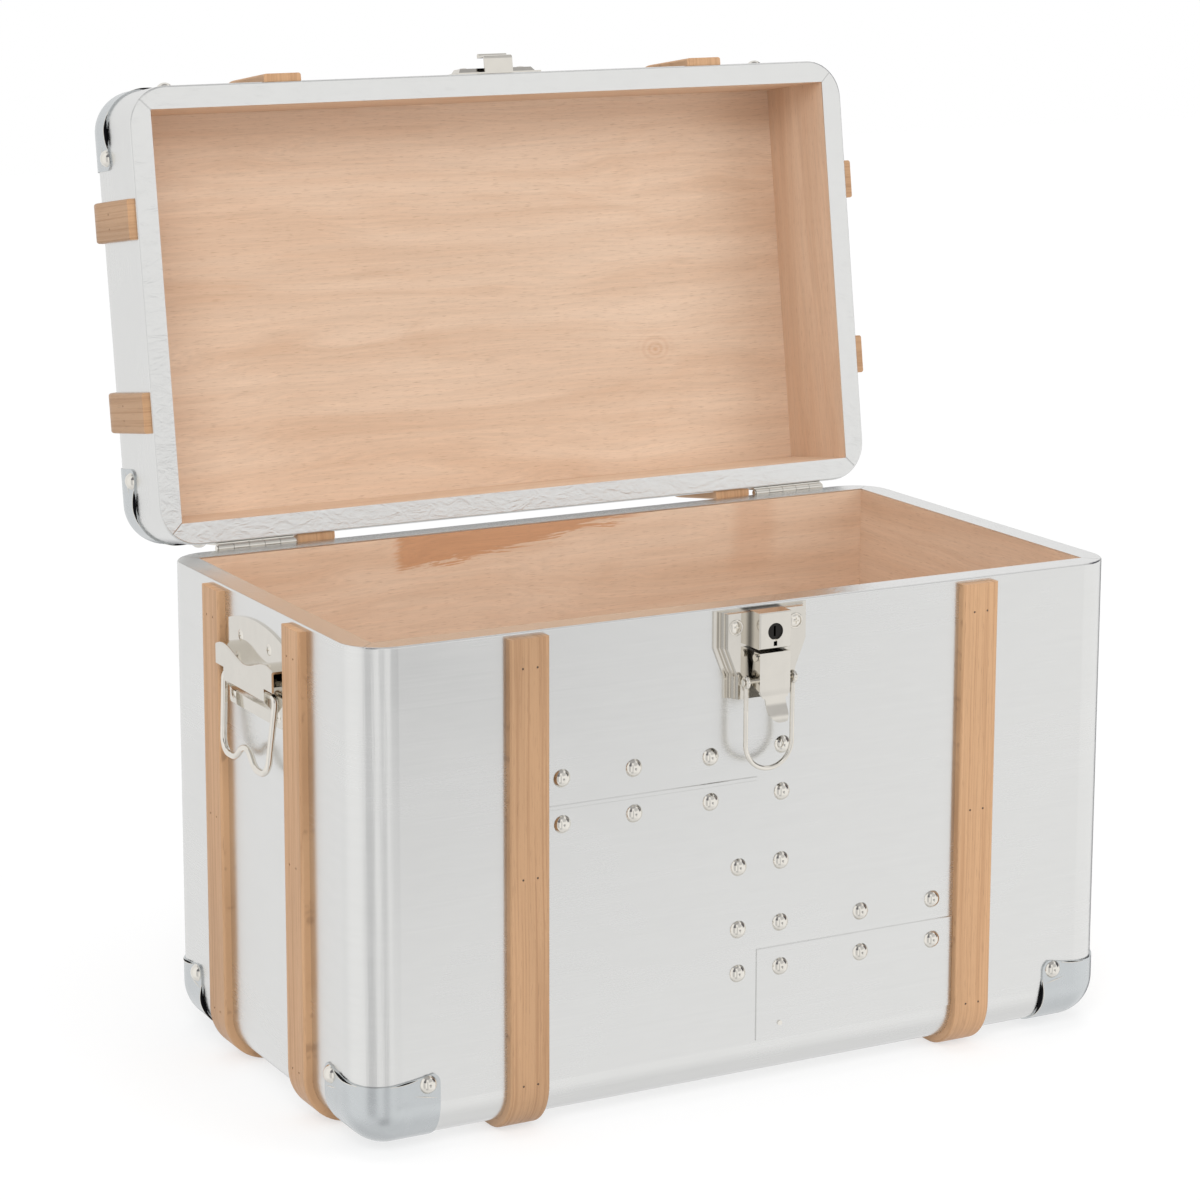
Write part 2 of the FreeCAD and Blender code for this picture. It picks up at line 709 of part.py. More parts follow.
def hinge_barrels(centre_x, indices, radius, grow):
    pieces = []
    for i in indices:
        start = centre_x - hinge_length / 2 + i * knuckle_pitch + knuckle_gap / 2 - grow
        length = knuckle_pitch - knuckle_gap + 2 * grow
        pieces.append(rod(Vector(start, hinge_y, hinge_z), X_AXIS, radius, length))
    return pieces


def hinge_leaf_shape(centre_x, side):
    """Leaf below (side -1) or above (side +1) the pin, on the back face, with its knuckles."""
    own = [i for i in range(hinge_knuckles) if (i % 2 == 0) == (side < 0)]
    other = [i for i in range(hinge_knuckles) if i not in own]
    half = hinge_length / 2
    near = hinge_z + side * rim_gap
    far = hinge_z + side * hinge_leaf_height
    leaf = block(centre_x - half, centre_x + half, half_y, half_y + hinge_leaf, near, far)
    parts = hinge_barrels(centre_x, own, hinge_barrel_radius, 0)
    for i in own:
        start = centre_x - half + i * knuckle_pitch + knuckle_gap / 2
        end = start + knuckle_pitch - knuckle_gap
        z_web = hinge_z + side * hinge_barrel_radius
        parts.append(block(start, end, half_y, hinge_y, near, z_web))
    clearance = hinge_barrels(centre_x, other, hinge_barrel_radius + knuckle_clearance, knuckle_gap)
    bore = hinge_pin_radius if side < 0 else hinge_pin_radius + running_fit
    hole = rod(Vector(centre_x - FAR / 2, hinge_y, hinge_z), X_AXIS, bore, FAR)
    return leaf.cut(clearance).fuse(parts).cut(hole).removeSplitter()


def hinge_pin(centre_x):
    start = centre_x - hinge_length / 2
    length = hinge_length
    shaft = rod(Vector(start, hinge_y, hinge_z), X_AXIS, hinge_pin_radius, length)
    heads = []
    for x in (start - hinge_pin_head, start + length):
        heads.append(rod(Vector(x, hinge_y, hinge_z), X_AXIS, hinge_pin_head_radius, hinge_pin_head))
    return shaft.fuse(heads)


def hinge_screw_places(side):
    places = []
    for centre_x in (-hinge_x, hinge_x):
        for i, drop in ((-1, 0.5), (0, 0.72), (1, 0.5)):
            x = centre_x + i * hinge_length * 0.36
            z = hinge_z + side * hinge_leaf_height * drop
            places.append((Vector(x, half_y + hinge_leaf, z), BACK))
    return places


base_leaves = {"hinge_left_base_leaf": -hinge_x, "hinge_right_base_leaf": hinge_x}
base_leaves = {name: hinge_leaf_shape(x, -1) for name, x in base_leaves.items()}
lid_leaves = {"hinge_left_lid_leaf": -hinge_x, "hinge_right_lid_leaf": hinge_x}
lid_leaves = {name: hinge_leaf_shape(x, 1) for name, x in lid_leaves.items()}
hinge_pins = [hinge_pin(-hinge_x), hinge_pin(hinge_x)]
base_hinge_screw_places = hinge_screw_places(-1)
lid_hinge_screw_places = hinge_screw_places(1)

# ---- latch ---------------------------------------------------------------------------------------
def latch_outline(side, top, bottom=0.0):
    """The latch plate's outline, moved in by `side` at both sides and by `top` at the top."""
    wide = latch_half_width - side
    tail = latch_tail_half_width - side
    right = [
        (tail, latch_bottom - bottom),
        (tail, latch_tail_top),
        (wide, latch_shoulder),
        (wide, latch_top - top),
    ]
    return [(-x, z) for x, z in reversed(right)] + right


def latch_steps_block(inset, bottom):
    """Stack of the pressed steps. The inner side of the sheet is the same stack, moved in by `inset`."""
    layers = []
    low = 0.0
    for i in range(latch_steps):
        side = latch_flange + i * latch_step_run + inset
        top = (i + 1) * latch_top_run + inset
        high = latch_raise * (i + 1) / latch_steps - inset
        foot = front_wire(latch_outline(side, top, bottom), low)
        tread = front_wire(latch_outline(side + latch_riser_run, top + latch_top_run / 2, bottom), high)
        layers.append(Part.makeLoft([foot, tread], True, True))
        low = high
    return layers[0].fuse(layers[1:])


cheek_inner = lever_half_width - lever_sheet
ear_outer = cheek_inner - ear_gap
ear_inner = ear_outer - ear_sheet


def plate_ear(side):
    """Ear on the plate that carries the lever's pin."""
    x0 = side * ear_inner
    x1 = side * ear_outer
    root = latch_raise - plate_sheet
    foot = lever_pivot_z - ear_radius * 1.5
    points = [
        at_front(x0, root, foot),
        at_front(x0, lever_pivot_out, lever_pivot_z - ear_radius),
        at_front(x0, lever_pivot_out, lever_pivot_z + ear_radius),
        at_front(x0, root, lever_pivot_z + ear_radius),
    ]
    web = prism(points, Vector(x1 - x0, 0, 0))
    start = Vector(min(x0, x1), -half_y - lever_pivot_out, lever_pivot_z)
    return web.fuse(rod(start, X_AXIS, ear_radius, ear_sheet))


def x_rod(out, z, radius, half_length):
    return rod(at_front(-half_length, out, z), X_AXIS, radius, 2 * half_length)


latch_flange_sheet = Part.Face(front_wire(latch_outline(0.0, 0.0), 0)).extrude(Vector(0, -plate_sheet, 0))
latch_plate = latch_flange_sheet.fuse(latch_steps_block(0.0, 0.0)).cut(latch_steps_block(plate_sheet, 1.0))
latch_plate = latch_plate.fuse([plate_ear(-1), plate_ear(1)])
latch_plate = latch_plate.cut(x_rod(lever_pivot_out, lever_pivot_z, lever_pin_radius, ear_outer + 1))
latch_screw_spots = [
    at_front(-latch_screw_x, latch_raise, latch_screw_z),
    at_front(latch_screw_x, latch_raise, latch_screw_z),
    at_front(0, latch_raise, latch_low_screw_z),
]

case_shell = block(
    -case_half_width, case_half_width,
    -half_y - latch_raise, -half_y - case_front,
    case_bottom, case_top,
)
case_edges = [e for e in case_shell.Edges if abs(e.BoundBox.YMin + half_y + case_front) < EPS]
case_shell = case_shell.makeFillet(case_round, [e for e in case_edges if e.BoundBox.YLength < EPS])
case_hollow = block(
    -case_half_width + case_wall, case_half_width - case_wall,
    -half_y, -half_y - case_front + case_wall,
    case_bottom + case_wall, case_top - case_wall,
)
plug_bore = plug_radius + running_fit
tube_front = case_front - case_wall
plug_tube = rod(at_front(0, tube_front, keyhole_z), BACK, plug_bore + plug_wall, tube_front - plug_back)
plug_hole = rod(at_front(0, case_front + 1, keyhole_z), BACK, plug_bore, case_front + 1)
keyhole_slot = block(
    -keyhole_slot_half, keyhole_slot_half,
    -half_y - case_front - 1, -half_y - case_front + case_wall,
    keyhole_z - keyhole_slot_drop, keyhole_z,
)
lock_case = case_shell.cut(case_hollow).fuse(plug_tube).cut([plug_hole, keyhole_slot])

plug_front = case_front - plug_recess
lock_plug = rod(at_front(0, plug_front, keyhole_z), BACK, plug_radius, plug_front - plug_back)
key_slot = block(
    -key_slot_half, key_slot_half,
    -half_y - plug_front - 1, -half_y - plug_front + key_slot_depth,
    keyhole_z - key_slot_height, keyhole_z + key_slot_height,
)
cam = block(
    -cam_half_width, cam_half_width,
    -half_y - plug_back, -half_y - plug_back + cam_thick,
    keyhole_z - cam_half_width, keyhole_z + cam_reach,
)
lock_plug = lock_plug.cut(key_slot).fuse(cam)

cheek_points = [
    (lever_front - lever_sheet / 2, lever_top),
    (lever_pivot_out - ear_radius, lever_top),
    (lever_cheek_back, loop_pivot_z + ear_radius),
    (lever_cheek_back, loop_pivot_z - ear_radius),
    (lever_front - lever_sheet / 2, lever_low - 1.0),
]


def lever_cheek(side):
    x0 = side * cheek_inner
    points = [at_front(x0, out, z) for out, z in cheek_points]
    return prism(points, Vector(side * lever_sheet, 0, 0))


def tab_profile_x(x):
    """Side view of the thumb tab, in the plane at x: it curls away from the chest below the lever."""

    def at_x(out, z):
        return at_front(x, out, z)

    centre = (lever_front + tab_curl_radius, lever_low)
    start = 180
    end = 180 + tab_curl_deg
    inner = arc_edge(centre, tab_curl_radius, start, end, at_x)
    outer = arc_edge(centre, tab_curl_radius + lever_sheet, start, end, at_x)
    edges = [inner, outer]
    for i in (0, -1):
        edges.append(Part.LineSegment(inner.Vertexes[i].Point, outer.Vertexes[i].Point).toShape())
    return Part.Face(Part.Wire(Part.__sortEdges__(edges)))


def thumb_tab():
    """Tongue with two shoulders and a rounded end, curled away from the chest."""
    tongue = tab_profile_x(-lever_half_width).extrude(Vector(2 * lever_half_width, 0, 0))
    low = lever_low - tab_curl_radius * math.sin(math.radians(tab_curl_deg))
    centre_z = low + tab_half_width - lever_sheet
    keep = rod(at_front(0, 0, centre_z), FRONT, tab_half_width, FAR)
    top = lever_low + 1.0
    outline = [
        (-lever_half_width, top),
        (-tab_half_width, lever_low - tab_shoulder),
        (-tab_half_width, centre_z),
        (tab_half_width, centre_z),
        (tab_half_width, lever_low - tab_shoulder),
        (lever_half_width, top),
    ]
    strip = prism([at_front(x, 0, z) for x, z in outline], Vector(0, -FAR, 0))
    return tongue.common(keep.fuse(strip))


def tab_gusset(side):
    """Web from the cheek's lower rear corner down to the tab's end, behind the tab."""
    turn = math.radians(tab_curl_deg)
    tip_out = lever_front + tab_curl_radius * (1 - math.cos(turn))
    tip_z = lever_low - tab_curl_radius * math.sin(turn)
    points = [
        at_front(side * lever_half_width, lever_cheek_back, loop_pivot_z - ear_radius),
        at_front(side * lever_half_width, lever_front, lever_low),
        at_front(side * tab_half_width, tip_out, tip_z + tab_half_width),
    ]
    web = prism(points, Vector(-side * lever_sheet, 0, 0))
    hollow = rod(at_front(-FAR / 2, lever_front + tab_curl_radius, lever_low), X_AXIS, tab_curl_radius, FAR)
    return web.cut(hollow)


lever_plate = block(
    -lever_half_width, lever_half_width,
    -half_y - lever_front + lever_sheet, -half_y - lever_front,
    lever_low, lever_top,
)
lever_sides = [lever_cheek(-1), lever_cheek(1)]
tab_sides = [tab_gusset(-1), tab_gusset(1)]
latch_lever = lever_plate.fuse(lever_sides + [thumb_tab()] + tab_sides)
lever_bore = x_rod(lever_pivot_out, lever_pivot_z, lever_pin_radius + running_fit, FAR / 2)
loop_pin_bore = x_rod(loop_out, loop_pivot_z, loop_pin_radius + running_fit, FAR / 2)
latch_lever = latch_lever.cut([lever_bore, loop_pin_bore]).removeSplitter()

pin_half = lever_half_width + ear_gap
lever_pin = x_rod(lever_pivot_out, lever_pivot_z, lever_pin_radius, pin_half)
for side in (-1, 1):
    head_start = at_front(side * pin_half, lever_pivot_out, lever_pivot_z)
    head = rod(head_start, Vector(side, 0, 0), lever_pin_head_radius, lever_pin_head)
    lever_pin = lever_pin.fuse(head)

eye_half = loop_half_width + loop_wire_radius + eye_gap
loop_pin = x_rod(loop_out, loop_pivot_z, loop_pin_radius, eye_half)
for side in (-1, 1):
    head_start = at_front(side * eye_half, loop_out, loop_pivot_z)
    head = rod(head_start, Vector(side, 0, 0), loop_pin_head_radius, loop_pin_head)
    loop_pin = loop_pin.fuse(head)

eye_radius = loop_pin_radius + loop_wire_radius
loop_bend_z = loop_low_z + loop_half_width
loop_bend = Part.makeTorus(loop_half_width, loop_wire_radius, at_front(0, loop_out, loop_bend_z), Y_AXIS)
lower_half = block(-FAR, FAR, -FAR, FAR, loop_bend_z - FAR, loop_bend_z)
latch_loop = loop_bend.common(lower_half)
for side in (-1, 1):
    leg_x = side * loop_half_width
    leg_length = loop_pivot_z - eye_radius - loop_bend_z
    leg = rod(at_front(leg_x, loop_out, loop_bend_z), UP, loop_wire_radius, leg_length)
    eye = Part.makeTorus(eye_radius, loop_wire_radius, at_front(leg_x, loop_out, loop_pivot_z), X_AXIS)
    latch_loop = latch_loop.fuse([leg, eye])
latch_loop = latch_loop.cut(x_rod(loop_out, loop_pivot_z, loop_pin_radius + running_fit, FAR / 2))

# ---- handles -------------------------------------------------------------------------------------


def at_side(y, out, z):
    """Point on the right-hand side, `out` millimetres above the sheet."""
    return Vector(half_x + out, handle_off_centre + y, z)


def handle_plate_shape():
    a = handle_half_width
    b = handle_tail_half_width
    low = [
        at_side(-a, 0, handle_side_top),
        at_side(-a, 0, handle_shoulder),
        at_side(-b, 0, handle_bottom),
        at_side(b, 0, handle_bottom),
        at_side(a, 0, handle_shoulder),
        at_side(a, 0, handle_side_top),
    ]
    sides = rounded_wire(low, (handle_corner, handle_corner, handle_corner, handle_corner))
    top = Part.Arc(low[-1], at_side(0, 0, handle_apex), low[0]).toShape()
    return Part.Face(Part.Wire(sides.Edges + [top])).extrude(Vector(handle_sheet, 0, 0))


def wave_edge(z_shift, out):
    """Wavy upper edge of the cover, from its rear end to its front end."""
    hump = cover_top - z_shift
    end = hump - cover_end_drop
    low = hump - cover_dip
    pairs = [(-1.0, end), (-cover_hump_y / cover_half_width, hump), (0.0, low)]
    pairs += [(-u, z) for u, z in reversed(pairs[:2])]
    curve = Part.BSplineCurve()
    curve.interpolate([at_side(u * cover_half_width, out, z) for u, z in pairs])
    return curve.toShape()


def line_between(a, b):
    return Part.LineSegment(a, b).toShape()


def cover_flange():
    """Wavy shelf from the plate out to the cover's front."""
    upper = wave_edge(0.0, handle_sheet)
    lower = wave_edge(cover_sheet, handle_sheet)
    ends = []
    for i in (0, -1):
        ends.append(line_between(upper.Vertexes[i].Point, lower.Vertexes[i].Point))
    face = Part.Face(Part.Wire(Part.__sortEdges__([upper, lower] + ends)))
    return face.extrude(Vector(cover_out - handle_sheet, 0, 0))


def cover_front():
    """T-shaped front under the wavy edge: two ears and a narrower body."""
    back = cover_out - cover_sheet
    upper = wave_edge(0.0, back)
    w = cover_half_width
    b = cover_body_half
    start = upper.Vertexes[-1].Point
    points = [
        start,
        at_side(w, back, cover_ear_low),
        at_side(b, back, cover_ear_low),
        at_side(b, back, cover_body_low),
        at_side(-b, back, cover_body_low),
        at_side(-b, back, cover_ear_low),
        at_side(-w, back, cover_ear_low),
        upper.Vertexes[0].Point,
    ]
    edges = [upper]
    for i in range(len(points) - 1):
        edges.append(line_between(points[i], points[i + 1]))
    face = Part.Face(Part.Wire(Part.__sortEdges__(edges)))
    return face.extrude(Vector(cover_sheet, 0, 0))


def cover_slab(y0, y1, corners):
    """Straight piece of the cover: corners are (out, z) pairs."""
    points = [at_side(y0, out, z) for out, z in corners]
    return prism(points, Vector(0, y1 - y0, 0))


def cover_shape():
    outer = cover_out
    inner = cover_out - cover_sheet
    foot = handle_sheet + cover_sheet
    slope = [
        (outer, cover_body_low),
        (inner, cover_body_low),
        (handle_sheet, cover_low + cover_sheet),
        (handle_sheet, cover_low),
        (foot, cover_low),
    ]
    wall = [
        (handle_sheet, cover_low),
        (handle_sheet, cover_ear_low),
        (outer, cover_ear_low),
        (outer, cover_body_low),
        (foot, cover_low),
    ]
    b = cover_body_half
    pieces = [cover_front(), cover_slab(-b, b, slope)]
    for side in (-1, 1):
        pieces.append(cover_slab(side * b, side * (b - cover_sheet), wall))
    solid = cover_flange().fuse(pieces).removeSplitter()
    edges = []
    for e in solid.Edges:
        box = e.BoundBox
        on_front = abs(box.XMin - half_x - outer) < 0.01 and box.XLength < 0.02
        if on_front and box.ZMin > cover_ear_low + 1 and box.YLength > cover_half_width:
            edges.append(e)
    solid = solid.makeFillet(cover_bend, edges)
    axle = rod(at_side(-FAR / 2, bail_out, bail_axis_z), Y_AXIS, bail_wire_radius + running_fit, FAR)
    return solid.cut(axle)


def bail_shape():
    stub_end = cover_body_half - cover_sheet - bail_stub_inside
    right_half = [
        (stub_end, bail_axis_z),
        (bail_half_width, bail_axis_z),
        (bail_foot_half, bail_low_z),
        (bail_lobe_half, bail_low_z),
        (0.0, bail_low_z + bail_bump),
    ]
    left_half = [(-y, z) for y, z in reversed(right_half[:-1])]
    points = [at_side(y, bail_out, z) for y, z in right_half + left_half]
    side_bends = [bail_top_bend, bail_foot_bend, bail_lobe_bend]
    bends = side_bends + [bail_bump_bend] + side_bends[::-1]
    spine = rounded_wire(points, bends)
    ring = Part.Wire([Part.makeCircle(bail_wire_radius, points[0], Y_AXIS)])
    bail = spine.makePipeShell([ring], True, False)
    bail.rotate(at_side(0, bail_out, bail_axis_z), Y_AXIS, -bail_lean)
    return bail


def handle_screw_spots():
    spots = []
    upper_z = handle_apex - handle_upper_screw_drop
    lower_z = handle_bottom + handle_lower_screw_rise
    for side in (-1, 1):
        spots.append(at_side(side * handle_upper_screw_y, handle_sheet, upper_z))
        spots.append(at_side(side * handle_lower_screw_y, handle_sheet, lower_z))
    return spots


def to_left(shape):
    return shape.mirror(Vector(0, 0, 0), X_AXIS)


handle_spots = handle_screw_spots()
handle_blanks = [aim(screw_blank(screw_length), p, RIGHT) for p in handle_spots]
handle_screws_right = [aim(screw(screw_length), p, RIGHT) for p in handle_spots]
handle_plate = cut_all(handle_plate_shape(), handle_blanks)
handle_cover = cover_shape()
handle_bail = bail_shape()

# ---- lid, built closed ---------------------------------------------------------------------------
lid_outer = round_rim(tub(half_x, half_y, lid_top, lid_rim, edge_radius), lid_rim, rim_bend)
lid_core = tub(half_x - sheet, half_y - sheet, lid_top - sheet, lid_rim + sheet, edge_radius - sheet)
lid_wall = sheet + lid_ply
lid_ceiling = lid_rim + lid_inside
lid_opening = block(
    -half_x + lid_wall, half_x - lid_wall,
    -half_y + lid_wall, half_y - lid_wall,
    lid_rim - 1, lid_ceiling,
)
lid_cladding = lid_outer.cut([lid_core, lid_opening])
lid_low = lid_rim + sheet
in_x = half_x - lid_wall
in_y = half_y - lid_wall
lid_panels = {
    "lid_rail_left": block(-half_x, -in_x, -half_y, half_y, lid_low, lid_ceiling),
    "lid_rail_right": block(in_x, half_x, -half_y, half_y, lid_low, lid_ceiling),
    "lid_rail_front": block(-in_x, in_x, -half_y, -in_y, lid_low, lid_ceiling),
    "lid_rail_back": block(-in_x, in_x, in_y, half_y, lid_low, lid_ceiling),
    "lid_top_panel": block(-half_x, half_x, -half_y, half_y, lid_ceiling, lid_top),
}
lid_panels = {name: panel.common(lid_core) for name, panel in lid_panels.items()}
lid_slat_end = lid_rim + slat_above_rim
lid_runners, lid_left_slats, lid_right_slats, lid_brad_places = slat_set(lid_top, -1, lid_slat_end)
lid_caps, lid_cap_nail_places = caps(lid_top, -1)

keeper_low = hook_low
keeper_high = keeper_low + keeper_height
keeper_outline = [
    (-keeper_half_width, keeper_high - keeper_chamfer),
    (-keeper_half_width, keeper_low),
    (keeper_half_width, keeper_low),
    (keeper_half_width, keeper_high - keeper_chamfer),
    (keeper_half_width - keeper_chamfer, keeper_high),
    (-keeper_half_width + keeper_chamfer, keeper_high),
]
web_points = [
    (-hook_half_width, 0.0, keeper_low),
    (-hook_half_width, hook_out, keeper_low),
    (-hook_half_width, hook_out, keeper_low + hook_height),
    (-hook_half_width, hook_out - hook_sheet, keeper_low + hook_height),
    (-hook_half_width, hook_out - hook_sheet, keeper_low + hook_sheet),
    (-hook_half_width, 0.0, keeper_low + hook_sheet),
]
hook = prism([at_front(*p) for p in web_points], Vector(2 * hook_half_width, 0, 0))
bend_edges = []
for e in hook.Edges:
    box = e.BoundBox
    at_low = abs(box.ZMax - keeper_low) < EPS
    at_out = abs(box.YMax + half_y + hook_out) < EPS
    if box.XLength > EPS and at_low and at_out:
        bend_edges.append(e)
hook = hook.makeFillet(hook_bend, bend_edges)
roll_z = keeper_low + hook_height - hook_roll_radius
roll = x_rod(hook_out - hook_sheet + hook_roll_radius, roll_z, hook_roll_radius, hook_half_width)
keeper = pressed_plate(keeper_outline).fuse([hook, roll])
keeper_screw_z = (keeper_low + keeper_high) / 2
keeper_spots = [at_front(s * keeper_screw_x, keeper_raise, keeper_screw_z) for s in (-1, 1)]


# ---- fasteners and their holes -------------------------------------------------------------------
def placed(makers, places):
    return [aim(makers, p, d) for p, d in places]


plate_screw_length = screw_length + latch_raise
latch_screws = [aim(screw(plate_screw_length), p, FRONT) for p in latch_screw_spots]
latch_blanks = [aim(screw_blank(plate_screw_length), p, FRONT) for p in latch_screw_spots]
latch_plate = cut_all(latch_plate, latch_blanks)
keeper_screws = [aim(screw(screw_length), p, FRONT) for p in keeper_spots]
keeper_blanks = [aim(screw_blank(screw_length), p, FRONT) for p in keeper_spots]
keeper = cut_all(keeper, keeper_blanks)
base_hinge_screws = placed(screw(screw_length), base_hinge_screw_places)
base_hinge_blanks = placed(screw_blank(screw_length), base_hinge_screw_places)
lid_hinge_screws = placed(screw(screw_length), lid_hinge_screw_places)
lid_hinge_blanks = placed(screw_blank(screw_length), lid_hinge_screw_places)
base_leaves = {name: cut_all(leaf, base_hinge_blanks) for name, leaf in base_leaves.items()}
lid_leaves = {name: cut_all(leaf, lid_hinge_blanks) for name, leaf in lid_leaves.items()}

base_brads = placed(brad(brad_length), base_brad_places)
base_brad_holes = placed(brad_hole(brad_length), base_brad_places)
lid_brads = placed(brad(lid_brad_length), lid_brad_places)
lid_brad_holes = placed(brad_hole(lid_brad_length), lid_brad_places)
base_cap_nails = placed(domed_nail(nail_length), base_cap_nail_places)
base_cap_holes = placed(nail_hole(nail_length), base_cap_nail_places)
lid_cap_nails = placed(domed_nail(lid_nail_length), lid_cap_nail_places)
lid_cap_holes = placed(nail_hole(lid_nail_length), lid_cap_nail_places)

handle_blanks_left = [to_left(b) for b in handle_blanks]
base_tools = nail_holes + base_brad_holes + base_cap_holes + latch_blanks
base_tools += base_hinge_blanks + handle_blanks + handle_blanks_left
lid_tools = lid_brad_holes + lid_cap_holes + keeper_blanks + lid_hinge_blanks

# ---- nodes of the base ---------------------------------------------------------------------------
for name, panel in base_panels.items():
    nodes[name] = cut_all(panel, base_tools)
nodes["base_cladding"] = cut_all(base_cladding, base_tools)
nodes["patch_sheet_left"] = cut_all(patch_left, nail_holes)
nodes["patch_sheet_right"] = cut_all(patch_right, nail_holes)
nodes["front_nails"] = group(front_nails)
nodes["runner_slat_left"] = cut_all(runners[0], base_brad_holes)
nodes["runner_slat_right"] = cut_all(runners[1], base_brad_holes)
nodes["side_slats_left"] = group([cut_all(s, base_brad_holes) for s in left_slats])
nodes["side_slats_right"] = group([cut_all(s, base_brad_holes) for s in right_slats])
nodes["base_slat_brads"] = group(base_brads)
for where, cap in base_caps.items():
    nodes["base_cap_" + where] = cut_all(cap, base_cap_holes)
nodes["base_cap_nails"] = group(base_cap_nails)
nodes.update(base_leaves)
nodes["hinge_pins"] = group(hinge_pins)
nodes["hinge_base_screws"] = group(base_hinge_screws)
nodes["latch_plate"] = latch_plate
nodes["lock_case"] = lock_case
nodes["lock_plug"] = lock_plug
nodes["latch_lever"] = latch_lever
nodes["latch_lever_pin"] = lever_pin
nodes["latch_loop_pin"] = loop_pin
nodes["latch_loop"] = latch_loop
nodes["latch_screws"] = group(latch_screws)
nodes["handle_plate_right"] = handle_plate
nodes["handle_cover_right"] = handle_cover
nodes["handle_bail_right"] = handle_bail
nodes["handle_plate_left"] = to_left(handle_plate)
nodes["handle_cover_left"] = to_left(handle_cover)
nodes["handle_bail_left"] = to_left(handle_bail)
nodes["handle_screws"] = group(handle_screws_right + [to_left(s) for s in handle_screws_right])

# ---- nodes of the lid ----------------------------------------------------------------------------
lid_nodes = {}
for name, panel in lid_panels.items():
    lid_nodes[name] = cut_all(panel, lid_tools)
lid_nodes["lid_cladding"] = cut_all(lid_cladding, lid_tools)
lid_nodes["lid_slat_left"] = cut_all(lid_runners[0], lid_brad_holes)
lid_nodes["lid_slat_right"] = cut_all(lid_runners[1], lid_brad_holes)
lid_nodes["lid_side_slats_left"] = group([cut_all(s, lid_brad_holes) for s in lid_left_slats])
lid_nodes["lid_side_slats_right"] = group([cut_all(s, lid_brad_holes) for s in lid_right_slats])
lid_nodes["lid_slat_brads"] = group(lid_brads)
for where, cap in lid_caps.items():
    lid_nodes["lid_cap_" + where] = cut_all(cap, lid_cap_holes)
lid_nodes["lid_cap_nails"] = group(lid_cap_nails)
lid_nodes.update(lid_leaves)
lid_nodes["hinge_lid_screws"] = group(lid_hinge_screws)
lid_nodes["latch_keeper"] = keeper
lid_nodes["keeper_screws"] = group(keeper_screws)
for name, shape in lid_nodes.items():
    shape.rotate(Vector(0, hinge_y, hinge_z), X_AXIS, -lid_open_deg)
    nodes[name] = shape

os.makedirs("parts", exist_ok=True)
for name, shape in nodes.items():
    shape.exportStep("parts/" + name + ".step")
print(len(nodes), "nodes written")
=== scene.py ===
"""Storage trunk: plywood clad in sheet metal, with bent slats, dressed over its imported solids."""
import json
import math

import bmesh
import bpy
from bpy.props import FloatProperty, FloatVectorProperty, PointerProperty
from mathutils import Matrix, Vector


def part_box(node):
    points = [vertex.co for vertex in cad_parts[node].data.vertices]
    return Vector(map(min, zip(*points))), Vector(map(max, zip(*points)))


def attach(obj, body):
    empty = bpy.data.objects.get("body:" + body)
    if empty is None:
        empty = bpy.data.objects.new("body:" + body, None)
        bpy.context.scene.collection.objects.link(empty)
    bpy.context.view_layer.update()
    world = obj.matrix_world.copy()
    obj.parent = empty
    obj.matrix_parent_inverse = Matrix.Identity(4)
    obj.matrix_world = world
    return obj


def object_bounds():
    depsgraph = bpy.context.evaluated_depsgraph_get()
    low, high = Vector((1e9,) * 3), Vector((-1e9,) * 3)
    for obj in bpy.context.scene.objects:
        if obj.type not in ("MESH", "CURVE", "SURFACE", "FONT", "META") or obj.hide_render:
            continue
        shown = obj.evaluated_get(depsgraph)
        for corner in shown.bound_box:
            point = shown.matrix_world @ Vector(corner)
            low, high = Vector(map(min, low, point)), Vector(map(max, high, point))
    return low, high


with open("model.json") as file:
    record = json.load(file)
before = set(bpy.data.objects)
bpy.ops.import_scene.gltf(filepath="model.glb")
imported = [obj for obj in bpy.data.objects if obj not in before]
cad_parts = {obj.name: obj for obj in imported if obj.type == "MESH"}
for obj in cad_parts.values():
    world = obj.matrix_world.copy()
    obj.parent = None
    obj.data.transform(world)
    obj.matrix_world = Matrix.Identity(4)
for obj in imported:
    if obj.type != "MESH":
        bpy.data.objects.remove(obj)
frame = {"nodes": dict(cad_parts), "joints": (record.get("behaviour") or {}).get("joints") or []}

bl_info = {
    "name": "Storage trunk finishes",
    "version": (1, 0, 0),
    "blender": (4, 5, 0),
    "location": "View3D > Sidebar > Trunk",
    "description": "Dresses a slatted metal-clad trunk in sheet metal, wood and plated steel",
    "category": "Object",
}

SOLID_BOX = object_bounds()
LID_JOINT = next(j for j in frame["joints"] if j["name"] == "lid_hinge")
LID_PIVOT = Vector(LID_JOINT["pos_m"])
LID_OPEN = math.radians(LID_JOINT["range_deg"][1])
SHUT = (Matrix.Translation(LID_PIVOT) @ Matrix.Rotation(LID_OPEN, 4, "X")
        @ Matrix.Translation(-LID_PIVOT))
BASE_LOW, BASE_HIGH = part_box("base_cladding")


def shut_box(name):
    """Lowest and highest corners of a solid of the lid while the lid is shut."""
    points = [SHUT @ vertex.co for vertex in frame["nodes"][name].data.vertices]
    low = Vector([min(point[i] for point in points) for i in range(3)])
    high = Vector([max(point[i] for point in points) for i in range(3)])
    return low, high


LID_LOW, LID_HIGH = shut_box("lid_cladding")

